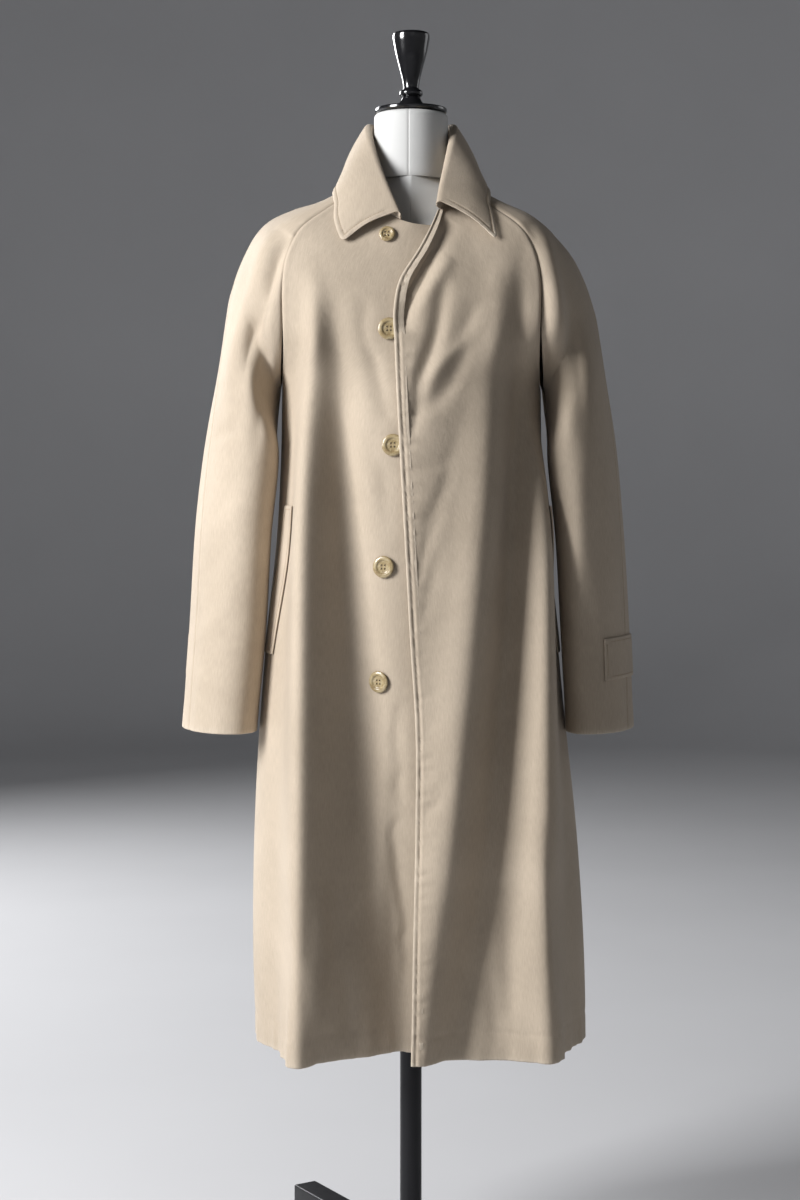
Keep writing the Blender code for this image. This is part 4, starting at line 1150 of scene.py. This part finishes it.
def horn():
    """Polished horn: cream and honey clouds with brown streaks."""
    material, shader = new_material("polished_horn")
    place = object_place(material)
    cloud = noise(material, place, 95.0, 4.0, Distortion=1.6)
    streaked = mapped(material, place, Scale=(1.0, 1.0, 5.0), Rotation=(0.3, 0.5, 0.0))
    streak = noise(material, streaked, 140.0, 5.0, Distortion=2.0)
    body = ramp(material, cloud, (0.28, HORN_HONEY), (0.52, HORN_YELLOW), (0.75, HORN_CREAM))
    mask = ramp(material, streak, (0.54, grey(0.0)), (0.76, grey(0.55)))
    feed(material, shader, "Base Color", mix_colour(material, mask, body, HORN_BROWN))
    feed(material, shader, "Roughness", between(material, streak, 0.22, 0.40))
    settle(shader, {"Coat Weight": 0.35, "Coat Roughness": 0.12})
    return material


def jersey():
    """White cotton jersey drawn tight over the form."""
    material, shader = new_material("form_jersey")
    place = object_place(material)
    knit = noise(material, mapped(material, place, Scale=(1.0, 1.0, 0.45)), 1400.0, 2.0)
    cloud = noise(material, place, 14.0, 4.0)
    feed(material, shader, "Base Color", ramp(material, cloud, (0.3, JERSEY_SHADE), (0.7, JERSEY_WHITE)))
    feed(material, shader, "Normal", bump(material, knit, 0.25, 0.0003))
    settle(shader, {"Roughness": 0.78, "Sheen Weight": 0.08})
    return material


def dark_finish(name, colour, roughness, metallic, coat):
    """Black lacquer or enamel: faint unevenness in its gloss, and dust-like specks."""
    material, shader = new_material(name)
    place = object_place(material)
    haze = noise(material, place, 60.0, 5.0)
    mask = ramp(material, noise(material, place, 1600.0, 1.0), (0.70, grey(0.0)), (0.80, grey(0.6)))
    paler = tuple(3.0 * channel for channel in colour[:3]) + (1.0,)
    feed(material, shader, "Base Color", mix_colour(material, mask, colour, paler))
    feed(material, shader, "Roughness", between(material, haze, 0.7 * roughness, 1.3 * roughness))
    feed(material, shader, "Normal", bump(material, haze, 0.08, 0.001))
    settle(shader, {"Metallic": metallic, "Coat Weight": coat, "Coat Roughness": 0.06})
    return material


# Pieces of the coat

def spread(*stretches):
    """Values from stretches of (first, last, steps) laid end to end."""
    values = [np.array([stretches[0][0]])]
    for first, last, steps in stretches:
        values.append(np.linspace(first, last, steps + 1)[1:])
    return np.concatenate(values)


def calm_round_buttons(points):
    """Share of the creases that is kept: none at the buttons, all away from them."""
    keep = np.ones(points.shape[:2])
    for row in BUTTONS:
        button = dict(zip(BUTTON_COLUMNS, row))
        away = np.hypot(points[..., 0] - button["x"], points[..., 2] - button["z"])
        keep *= smooth_step(away / button["diameter"] - BUTTON_CALM_SHARE)
    return keep


def drawn_in(points, first, last):
    """Draw the first and the last column in by the seam's gap where asked."""
    points = points.copy()
    if first:
        points[:, 0] += unit(points[:, 1] - points[:, 0]) * SEAM_PULL
    if last:
        points[:, -1] += unit(points[:, -2] - points[:, -1]) * SEAM_PULL
    return points


def finish_panel(name, points, sign, rise, cloth):
    folded = turned_hem(points, grid_normals(points, sign), HEM_RADIUS, HEM_RETURN)
    wear = np.pad(worn(rise, HEM_WEAR), ((0, len(folded) - len(rise)), (0, 0)), mode="edge")
    piece = shell(name + "_cloth", folded, CLOTH_WALL, cloth, wear)
    declare_cloth(piece, name)


def make_front(side, cloth, sewing):
    name = SIDE_NAME[side] + "_front"
    levels = spread((0.0, 1.0, UPPER_ROWS), (1.0, 2.0, LOWER_ROWS))
    shares = spread(*UNDER_FRONT_COLUMNS)
    if side == LEFT:
        levels = spread((0.0, 1.0, EDGE_UPPER_ROWS), (1.0, 2.0, EDGE_LOWER_ROWS))
        shares = spread(*OVER_FRONT_COLUMNS)
    points = []
    for level in levels:
        first = front_edge_share(side, level)
        points.append(body_points(side, "front", first + (1.0 - first) * shares, level))
    points = eased(np.array(points), levels, shares)
    normals = grid_normals(points, -side)
    across = run_length(points, 1)
    down = run_length(points, 0)
    rise = down[-1:] - down
    relief = crease_relief(points, CREASES[name])
    if side == RIGHT:
        relief *= calm_round_buttons(points)
    relief += humps(across[:, -1:] - across, SEAM_HUMPS) + hem_relief(rise, across)
    wear = worn(rise, HEM_WEAR)
    if side == LEFT:
        relief += edge_relief(across, down)
        wear += worn(across, EDGE_WEAR)
    points = drawn_in(points + normals * relief[..., None], False, True)
    normals = grid_normals(points, -side)
    folded = turned_edge(points, normals, EDGE_RADIUS, EDGE_RETURN)
    extra = folded.shape[1] - points.shape[1]
    normals_wide = np.concatenate([np.repeat(normals[:, :1], extra, axis=1), normals], axis=1)
    folded = turned_hem(folded, normals_wide, HEM_RADIUS, HEM_RETURN)
    wear = np.pad(wear, ((0, len(folded) - len(wear)), (extra, 0)), mode="edge")
    piece = shell(name + "_cloth", folded, CLOTH_WALL, cloth, wear)
    if side == LEFT:
        rows = stitch_row([line_beside(points, normals, EDGE_STITCH_INSET)])
        stitches = capsules("front_edge_stitches", *rows, STITCH_LENGTH, STITCH_WIDTH, sewing)
        declare(stitches, None)
    declare_cloth(piece, name)


def make_back(cloth):
    levels = spread((0.0, 1.0, UPPER_ROWS), (1.0, 2.0, BACK_LOWER_ROWS))
    shares = spread(*BACK_COLUMNS)
    points = []
    for level in levels:
        right = body_points(RIGHT, "back", -shares[shares < 0.0], level)
        left = body_points(LEFT, "back", shares[shares >= 0.0], level)
        points.append(np.concatenate([right, left]))
    points = eased(np.array(points), levels, shares)
    across = run_length(points, 1)
    down = run_length(points, 0)
    rise = down[-1:] - down
    relief = crease_relief(points, CREASES["back"]) + hem_relief(rise, across)
    relief += humps(across, SEAM_HUMPS) + humps(across[:, -1:] - across, SEAM_HUMPS)
    points = drawn_in(points + grid_normals(points, 1.0) * relief[..., None], True, True)
    finish_panel("back", points, 1.0, rise, cloth)


def make_sleeve(side, face, cloth):
    name = SIDE_NAME[side] + "_sleeve_" + face
    levels = spread((0.0, 1.0, UPPER_ROWS), (1.0, 2.0, ARM_ROWS))
    shares = spread(*SLEEVE_COLUMNS)
    points = np.array([sleeve_points(side, face, shares, level) for level in levels])
    sign = side if face == "front" else -side
    across = run_length(points, 1)
    down = run_length(points, 0)
    rise = down[-1:] - down
    relief = crease_relief(points, CREASES[name]) + CUFF_SHARE * hem_relief(rise, across)
    relief += humps(across, SEAM_HUMPS) + humps(across[:, -1:] - across, SEAM_HUMPS)
    points = drawn_in(points + grid_normals(points, sign) * relief[..., None], True, True)
    finish_panel(name, points, sign, rise, cloth)


def rounded_tips(points):
    """Round the two outer corners of the collar's grid, where its ends meet its outer edge."""
    points = points.copy()
    for turned in (points, points[::-1]):
        to_edge = run_length(turned[:, ::-1], 1)[:, ::-1]
        to_end = run_length(turned, 0)
        beside = 1.0 - to_edge / COLLAR_TIP_RADIUS
        below = 1.0 - to_end / COLLAR_TIP_RADIUS
        corner = (beside > 0.0) & (below > 0.0)
        gap = np.hypot(beside, below)
        centre = turned[np.unravel_index(np.argmin(np.where(corner, gap, 9.0)), gap.shape)].copy()
        keep = np.maximum(beside, below) / np.maximum(gap, 0.001)
        turned[corner] = centre + (turned[corner] - centre) * keep[corner][:, None]
    return points


def make_collar(cloth, sewing):
    half = spread(*COLLAR_STATIONS)
    stations = [(RIGHT, station) for station in half] + [(LEFT, station) for station in half[-2::-1]]
    shares = spread(*COLLAR_COLUMNS)
    points = np.array([collar_section(side, station, shares) for side, station in stations])
    points = rounded_tips(points)
    normals = grid_normals(points, 1.0)
    outer = normals[:, COLLAR_OUTER_COLUMN] * points[:, COLLAR_OUTER_COLUMN]
    if outer[:, :2].sum() < 0.0:
        normals = -normals
    across = run_length(points, 1)
    down = run_length(points, 0)
    nearest = np.minimum(across[:, -1:] - across, np.minimum(down, down[-1:] - down))
    on_fall = smooth_step((shares - ROLL) / 0.1)[None, :]
    ripple = slanted_wobble(down, across, COLLAR_WAVE) * np.exp(-nearest / COLLAR_WAVE_REACH)
    relief = (humps(nearest, COLLAR_HUMPS) + COLLAR_WAVE_HEIGHT * ripple) * on_fall
    points = points + normals * relief[..., None]
    tip = np.linalg.norm(points - points[-1, -1], axis=-1)
    at_tip = np.exp(-(tip / COLLAR_TIP_WEAR_SPAN) ** 2) * worn(nearest, COLLAR_TIP_WEAR)
    wear = np.clip(worn(nearest, COLLAR_WEAR) * on_fall + at_tip, 0.0, 1.0)
    piece = shell("collar_cloth", points, COLLAR_CLOTH_WALL, cloth, wear)
    inner = slice(COLLAR_TRIM, -COLLAR_TRIM)
    lines = [line_beside(points[inner], normals[inner], COLLAR_STITCH_INSET, from_end=True)]
    on_leaf = slice(COLLAR_FALL_COLUMN, -COLLAR_TRIM)
    for turned in (slice(None), slice(None, None, -1)):
        flipped = points[turned].swapaxes(0, 1)[on_leaf]
        facing = normals[turned].swapaxes(0, 1)[on_leaf]
        lines.append(line_beside(flipped, facing, COLLAR_STITCH_INSET))
    places, along, up = stitch_row(lines)
    stitches = capsules("collar_stitches", places + up * 0.5 * COLLAR_CLOTH_WALL, along, up, STITCH_LENGTH,
                        STITCH_WIDTH, sewing)
    declare(stitches, None)
    declare_cloth(piece, "collar")


def patch(points, normals, name, cloth, sewing):
    """Small flat piece laid on a panel, with a row of stitches along each of its edges."""
    across = run_length(points, 1)
    down = run_length(points, 0)
    nearest = np.minimum(np.minimum(across, across[:, -1:] - across), np.minimum(down, down[-1:] - down))
    points = points + normals * humps(nearest, PATCH_HUMPS)[..., None]
    piece = shell(name + "_cloth", points, PATCH_WALL, cloth, worn(nearest, PATCH_WEAR))
    inner = slice(PATCH_ROW_TRIM, -PATCH_ROW_TRIM)
    lines = [line_beside(points[inner], normals[inner], PATCH_STITCH_INSET, from_end)
             for from_end in (False, True)]
    inner = slice(PATCH_COLUMN_TRIM, -PATCH_COLUMN_TRIM)
    for turned in (slice(None), slice(None, None, -1)):
        flipped = points[turned].swapaxes(0, 1)[inner]
        facing = normals[turned].swapaxes(0, 1)[inner]
        lines.append(line_beside(flipped, facing, PATCH_STITCH_INSET))
    places, along, up = stitch_row(lines)
    stitches = capsules(name + "_stitches", places + up * 0.5 * PATCH_WALL, along, up, STITCH_LENGTH,
                        STITCH_WIDTH, sewing)
    declare(stitches, None)
    declare_cloth(piece, name)


def make_welt(side, cloth, sewing):
    size = dict(zip(WELT_COLUMNS, WELTS[side]))
    rows, columns = WELT_GRID
    points = []
    for down in np.linspace(0.0, 1.0, rows):
        z = size["top_z"] + (size["bottom_z"] - size["top_z"]) * down
        first = size["top_share"] + (size["bottom_share"] - size["top_share"]) * down
        shares = np.linspace(first, first + size["width_share"], columns)
        points.append(body_points(side, "front", shares, level_of_height(z)))
    points = np.array(points)
    normals = grid_normals(points, -side)
    front = SIDE_NAME[side] + "_front"
    height = crease_relief(points, CREASES[front]) + 0.5 * WALL + WELT_GAP + 0.5 * PATCH_WALL
    patch(points + normals * height[..., None], normals, SIDE_NAME[side] + "_pocket_welt", cloth, sewing)


def make_strap(side, cloth, sewing):
    rows, columns = STRAP_GRID
    places = np.linspace(*STRAP_PLACES[side], columns)
    points = []
    for level in np.linspace(*STRAP_LEVELS, rows):
        row = [sleeve_points(side, "front", -places[places < 0.0], level),
               sleeve_points(side, "back", places[places >= 0.0], level)]
        points.append(np.concatenate(row))
    points = np.array(points)
    normals = grid_normals(points, -side)
    points = points + normals * (0.5 * WALL + LAID_ON_GAP + 0.5 * PATCH_WALL)
    patch(points, normals, SIDE_NAME[side] + "_cuff_strap", cloth, sewing)


def button_seat(x, z):
    """Point and normal of the under front where a button sits."""
    level = level_of_height(z)
    if level < 1.0:
        steps = np.linspace(0.0, 1.0, 101)
        heights = np.array([MIDDLE.at(step, "front_z") for step in steps])
        level = float(np.interp(-z, -heights, steps))
    share = share_at_x(body_row(RIGHT, "front", level), -x)
    step = 0.004
    across = (body_points(RIGHT, "front", share + step, level)
              - body_points(RIGHT, "front", share - step, level))
    down = (body_points(RIGHT, "front", share, level + step)
            - body_points(RIGHT, "front", share, level - step))
    normal = unit(np.cross(across, down))
    seat = body_points(RIGHT, "front", share, level) + normal * (0.5 * WALL + LAID_ON_GAP)
    return seat, normal


def button_profile(radius, height):
    """Dished button: flat well, round shoulder, domed rim and a rounded back."""
    floor = BUTTON_WELL_FLOOR * height
    profile = [(BUTTON_AXIS_RADIUS, floor), (BUTTON_BACK_SHARE * radius, floor),
               (BUTTON_WELL_SHARE * radius, BUTTON_WELL_HEIGHT * height)]
    for step in range(1, 9):
        part = step / 8.0
        share = BUTTON_WELL_SHARE + (BUTTON_CREST_SHARE - BUTTON_WELL_SHARE) * part
        rise = BUTTON_WELL_HEIGHT + (1.0 - BUTTON_WELL_HEIGHT) * smooth_step(part)
        profile.append((share * radius, rise * height))
    for step in range(1, 11):
        angle = math.pi * step / 10.0
        bulge = math.sin(angle) * (1.0 - BUTTON_CREST_SHARE) * radius
        profile.append((BUTTON_CREST_SHARE * radius + bulge * (1.0 if step < 8 else 0.96),
                        height * (0.5 + 0.5 * math.cos(angle))))
    profile.append((BUTTON_BACK_SHARE * radius, 0.0))
    profile.append((BUTTON_AXIS_RADIUS, 0.0))
    return profile


def cut_holes(piece):
    """Cut the four sewing holes through a button."""
    bm = bmesh.new()
    for across in (-1, 1):
        for up in (-1, 1):
            spot = Matrix.Translation((across * BUTTON_HOLE_PLACE, up * BUTTON_HOLE_PLACE, 0.0))
            bmesh.ops.create_cone(bm, cap_ends=True, segments=BUTTON_HOLE_SIDES, radius1=BUTTON_HOLE_RADIUS,
                                  radius2=BUTTON_HOLE_RADIUS, depth=4.0 * BUTTON_HEIGHT, matrix=spot)
    cutter_mesh = bpy.data.meshes.new(piece.name + "_holes")
    bm.to_mesh(cutter_mesh)
    bm.free()
    cutter = bpy.data.objects.new(piece.name + "_holes", cutter_mesh)
    bpy.context.scene.collection.objects.link(cutter)
    cut = piece.modifiers.new("holes", "BOOLEAN")
    cut.operation = "DIFFERENCE"
    cut.object = cutter
    graph = bpy.context.evaluated_depsgraph_get()
    piece.data = bpy.data.meshes.new_from_object(piece.evaluated_get(graph))
    piece.modifiers.clear()
    bpy.data.objects.remove(cutter)


def make_button(number, row, finish, sewing):
    button = dict(zip(BUTTON_COLUMNS, row))
    name = "front_button_%d" % number
    profile = button_profile(0.5 * button["diameter"], BUTTON_HEIGHT)
    mesh = ring_mesh(name, turned_rings(profile, round_angles(BUTTON_SIDES)))
    piece = link(name + "_horn", mesh, finish)
    cut_holes(piece)
    seat, normal = button_seat(button["x"], button["z"])
    facing = Vector(normal).to_track_quat("Z", "Y").to_matrix().to_4x4()
    piece.matrix_world = Matrix.Translation(Vector(seat)) @ facing
    declare(piece, name)
    turn = np.array(facing.to_3x3())
    across, upward = turn[:, 0], turn[:, 1]
    well = seat + normal * BUTTON_THREAD_HEIGHT * BUTTON_HEIGHT
    centres = np.array([well + across * x for x in (-BUTTON_HOLE_PLACE, BUTTON_HOLE_PLACE)])
    strands = capsules(name + "_thread", centres, np.array([upward, upward]), np.array([normal, normal]),
                       2.0 * BUTTON_HOLE_PLACE, BUTTON_THREAD_WIDTH, sewing)
    declare(strands, None)


# Dress form and stand

def shoulder_reach(side, z):
    """Half width of the form's shoulder just under the coat's overarm seam."""
    seam = np.array([OVERARM[side].point(level, "o") for level in SHOULDER_LEVELS])
    under = seam[:, 2] - 0.5 * WALL - TORSO_GAP
    return float(np.interp(-z, -under, seam[:, 0]))


def torso_ring(z, angles):
    half = np.full(len(angles), TORSO.at(z, "half"))
    if SHOULDER_END_Z < z < NECK_BASE_Z:
        half = np.where(np.cos(angles) > 0.0, shoulder_reach(LEFT, z), shoulder_reach(RIGHT, z))
    shoulder = smooth_step((z - SHOULDER_START_Z) / (SHOULDER_END_Z - SHOULDER_START_Z))
    taper = 1.0 + SHOULDER_TAPER * shoulder
    crest_y = SHOULDER_CREST_Y * shoulder * np.abs(np.cos(angles))
    side = np.sign(np.cos(angles)) * np.abs(np.cos(angles)) ** taper
    ahead = np.sign(np.sin(angles)) * np.abs(np.sin(angles)) ** taper
    depth = np.where(ahead > 0.0, TORSO.at(z, "back"), -TORSO.at(z, "front"))
    ring = np.stack([half * side, crest_y + depth * ahead, np.full(len(angles), z)], axis=1)
    return ring


def form_angles():
    """Angles round the form, closer together at the seam down the middle of its front."""
    front = 1.5 * math.pi
    close = front + spread((-0.10, -0.03, 5), (-0.03, 0.03, 16), (0.03, 0.10, 5))
    rest = np.linspace(front + 0.10, front - 0.10 + 2.0 * math.pi, 90)[1:-1]
    return np.concatenate([close, rest])


def seamed(rings, angles, radius):
    """Rings with the groove of the seam down the middle of the form's front."""
    arc = (np.mod(angles - 1.5 * math.pi + math.pi, 2.0 * math.pi) - math.pi) * radius
    outward = unit(rings * np.array([1.0, 1.0, 0.0]))
    return rings - outward * humps(arc, FORM_SEAM_HUMPS)[None, :, None]


def rounding(radius, z, out, up, steps, turn=0.5 * math.pi):
    """Points (radius, z) of a round that starts at its top and turns outward."""
    angles = [turn * step / steps for step in range(steps + 1)]
    return [(radius + out * math.sin(angle), z + up * math.cos(angle)) for angle in angles]


def add_rings(name, node_name, rings, finish):
    return declare(link(name, ring_mesh(name, rings), finish), node_name)


def finial_stretch(first, last, steps):
    return [(FINIAL.at(drop, "radius"), FINIAL_TOP_Z - drop) for drop in np.linspace(first, last, steps)]


def make_form(cover, lacquer):
    angles = form_angles()
    edge_z = TORSO_BOTTOM_Z + TORSO_EDGE
    heights = spread((TORSO_BOTTOM_Z, edge_z, 6), (edge_z, TORSO_CHEST_Z, 40),
                     (TORSO_CHEST_Z, TORSO_TOP_Z, 36))
    rings = np.array([torso_ring(z, angles) for z in heights])
    rings = seamed(rings, angles, TORSO_SEAM_RADIUS)
    add_rings("form_torso_cover", "form_torso", rings, cover)

    profile = [(AXIS_RADIUS, NECK_TOP_Z + NECK_CROWN), (NECK_RADIUS - 0.010, NECK_TOP_Z + 0.6 * NECK_CROWN)]
    profile += rounding(NECK_RADIUS - NECK_ROUND, NECK_TOP_Z - NECK_ROUND, NECK_ROUND, NECK_ROUND, 6)
    for z in np.linspace(NECK_TOP_Z - 0.010, TORSO_TOP_Z + 0.003, 14):
        profile.append((NECK_RADIUS + NECK_SPREAD * smooth_step((NECK_SPREAD_Z - z) / 0.030), z))
    bottom = TORSO_TOP_Z + CONTACT_GAP
    profile += [(NECK_RADIUS - 2.0 * NECK_SPREAD, bottom), (AXIS_RADIUS, bottom)]
    rings = seamed(turned_rings(profile, angles), angles, NECK_RADIUS)
    add_rings("form_neck_cover", "form_neck", rings, cover)

    bottom = NECK_TOP_Z + NECK_CROWN + CONTACT_GAP
    top = bottom + CAP_HEIGHT
    profile = [(AXIS_RADIUS, top)]
    profile += rounding(CAP_RADIUS - CAP_ROUND, top - CAP_ROUND, CAP_ROUND, CAP_ROUND, 5)
    profile += [(CAP_RADIUS, bottom + 0.0015), (CAP_RADIUS - CAP_UNDERCUT, bottom), (AXIS_RADIUS, bottom)]
    rings = turned_rings(profile, round_angles(96))
    add_rings("form_neck_cap_disc", "form_neck_cap", rings, lacquer)

    base = top + CONTACT_GAP
    lip_z = FINIAL_TOP_Z - FINIAL_LIP_HEIGHT
    profile = [(AXIS_RADIUS, FINIAL_TOP_Z - 0.0008), (0.0190, FINIAL_TOP_Z)]
    profile += rounding(FINIAL_LIP_RADIUS, lip_z, 0.0028, FINIAL_LIP_HEIGHT, 6)
    profile += finial_stretch(*FINIAL_STEM_DROPS, 16)
    profile += rounding(FINIAL_BEAD_RADIUS, FINIAL_TOP_Z - FINIAL_BEAD_DROP, 0.0040, 0.0046, 10, math.pi)
    profile += finial_stretch(FINIAL_FOOT_DROP, FINIAL_TOP_Z - base - 0.003, 8)
    profile += [(FINIAL_BASE_RADIUS, base + 0.0015), (FINIAL_BASE_RADIUS, base), (AXIS_RADIUS, base)]
    rings = turned_rings(profile, round_angles(72))
    add_rings("form_finial_turning", "form_finial", rings, lacquer)


def leg_bar(name, bottom):
    """Straight bar with rounded edges, along x from the hub."""
    start = HUB_RADIUS + CONTACT_GAP
    bm = bmesh.new()
    bmesh.ops.create_cube(bm, size=1.0)
    for vertex in bm.verts:
        vertex.co.x = start + (vertex.co.x + 0.5) * (LEG_REACH - start)
        vertex.co.y *= LEG_WIDTH
        vertex.co.z = bottom + (vertex.co.z + 0.5) * LEG_HEIGHT
    bmesh.ops.bevel(bm, geom=list(bm.edges), offset=LEG_BEVEL, segments=4, profile=0.5, affect="EDGES")
    mesh = bpy.data.meshes.new(name)
    bm.to_mesh(mesh)
    bm.free()
    mesh.shade_smooth()
    mesh.set_sharp_from_angle(angle=math.radians(30.0))
    return mesh


def make_stand(enamel):
    around = round_angles(72)
    top = TORSO_BOTTOM_Z - CONTACT_GAP
    foot = HUB_TOP_Z + CONTACT_GAP
    inner = POLE_RADIUS - POLE_BEVEL
    profile = [(STAND_AXIS_RADIUS, top), (inner, top), (POLE_RADIUS, top - POLE_BEVEL),
               (POLE_RADIUS, foot + POLE_BEVEL), (inner, foot), (STAND_AXIS_RADIUS, foot)]
    add_rings("stand_pole_tube", "stand_pole", turned_rings(profile, around), enamel)

    leg_bottom = LEG_TOP_Z - LEG_HEIGHT
    profile = [(STAND_AXIS_RADIUS, HUB_TOP_Z), (0.022, HUB_TOP_Z), (0.0235, HUB_TOP_Z - 0.0006),
               (HUB_NECK_RADIUS, HUB_TOP_Z - 0.002)]
    for step in range(0, 9):
        part = step / 8.0
        profile.append((HUB_NECK_RADIUS + (HUB_RADIUS - 0.026) * part ** 2.2,
                        LEG_TOP_Z + HUB_CONE_HEIGHT - 0.013 * part))
    underside = leg_bottom - HUB_UNDERSIDE
    profile += [(HUB_RADIUS, LEG_TOP_Z), (HUB_RADIUS, leg_bottom), (HUB_RADIUS - HUB_UNDERSIDE, underside),
                (STAND_AXIS_RADIUS, underside)]
    add_rings("stand_hub_casting", "stand_hub", turned_rings(profile, around), enamel)

    neck = FOOT_RADIUS - FOOT_ROUND
    foot_top = leg_bottom - CONTACT_GAP
    profile = [(STAND_AXIS_RADIUS, foot_top), (neck, foot_top), (neck, 0.0135)]
    profile += rounding(neck, 0.0065, FOOT_ROUND, FOOT_ROUND, 6)
    profile += [(FOOT_RADIUS, 0.001), (FOOT_RADIUS - 0.001, 0.0), (STAND_AXIS_RADIUS, 0.0)]
    for number, angle in enumerate(LEG_ANGLES, start=1):
        turn = Matrix.Rotation(math.radians(angle), 4, "Z")
        name = "stand_leg_%d_bar" % number
        leg = link(name, leg_bar(name, leg_bottom), enamel)
        leg.matrix_world = turn
        declare(leg, "stand_leg_%d" % number)
        name = "stand_foot_%d_glide" % number
        glide = link(name, ring_mesh(name, turned_rings(profile, round_angles(40))), enamel)
        glide.matrix_world = turn @ Matrix.Translation((LEG_REACH - FOOT_INSET, 0.0, 0.0))
        declare(glide, "stand_foot_%d" % number)


# Stage

def plain_stage(name, colour):
    material, shader = new_material(name)
    cloud = noise(material, object_place(material), 1.5, 3.0)
    darker = tuple(0.96 * channel for channel in colour[:3]) + (1.0,)
    feed(material, shader, "Base Color", ramp(material, cloud, (0.3, darker), (0.7, colour)))
    settle(shader, {"Roughness": 0.9})
    return material


def make_stage():
    """Pale round floor that sweeps up into a plain wall all round, clear of any view of the object."""
    profile = [(0.001, 0.0), (STAGE_RADIUS - STAGE_SWEEP, 0.0)]
    for step in range(1, 13):
        angle = 0.5 * math.pi * step / 12.0
        profile.append((STAGE_RADIUS - STAGE_SWEEP + STAGE_SWEEP * math.sin(angle),
                        STAGE_SWEEP - STAGE_SWEEP * math.cos(angle)))
    profile.append((STAGE_RADIUS, STAGE_HEIGHT))
    points = turned_rings(profile, np.linspace(0.0, 2.0 * math.pi, 97))
    paper = plain_stage("studio_paper", STAGE_COLOUR)
    sweep = link("studio_sweep", grid_mesh("studio_sweep", points), paper)


def add_area_light(name, location, target, size, power, colour):
    lamp = bpy.data.lights.new(name, "AREA")
    lamp.shape = "RECTANGLE"
    lamp.size, lamp.size_y = size
    lamp.energy = power
    lamp.color = colour
    placed = bpy.data.objects.new(name, lamp)
    bpy.context.scene.collection.objects.link(placed)
    placed.location = location
    placed.rotation_euler = (Vector(target) - Vector(location)).to_track_quat("-Z", "Y").to_euler()


def make_light():
    for row in LIGHTS:
        add_area_light(*row)
    world = bpy.data.worlds.new("studio_air")
    bpy.context.scene.world = world
    world.use_nodes = True
    world.node_tree.nodes["Background"].inputs["Color"].default_value = AIR_COLOUR
    world.node_tree.nodes["Background"].inputs["Strength"].default_value = AIR_STRENGTH
    bpy.context.scene.view_settings.view_transform = "Standard"


def make_camera():
    camera = bpy.data.cameras.new("photo_camera")
    camera.sensor_fit = "VERTICAL"
    camera.sensor_height = 36.0
    camera.lens = CAMERA_LENS
    placed = bpy.data.objects.new("photo_camera", camera)
    bpy.context.scene.collection.objects.link(placed)
    placed.location = CAMERA_PLACE
    aim = Vector(CAMERA_TARGET) - Vector(CAMERA_PLACE)
    placed.rotation_euler = aim.to_track_quat("-Z", "Y").to_euler()
    bpy.context.scene.camera = placed


def main():
    make_camera()
    make_light()
    make_stage()
    cloth = gabardine()
    sewing = thread()
    for side in (RIGHT, LEFT):
        make_front(side, cloth, sewing)
        make_welt(side, cloth, sewing)
        for face in ("front", "back"):
            make_sleeve(side, face, cloth)
        make_strap(side, cloth, sewing)
    make_back(cloth)
    make_collar(cloth, sewing)
    finish = horn()
    for number, row in enumerate(BUTTONS, start=1):
        make_button(number, row, finish, sewing)
    make_form(jersey(), dark_finish("gloss_lacquer", LACQUER_BLACK, 0.16, 0.0, 0.6))
    make_stand(dark_finish("satin_enamel", ENAMEL_BLACK, 0.38, 0.5, 0.0))


main()
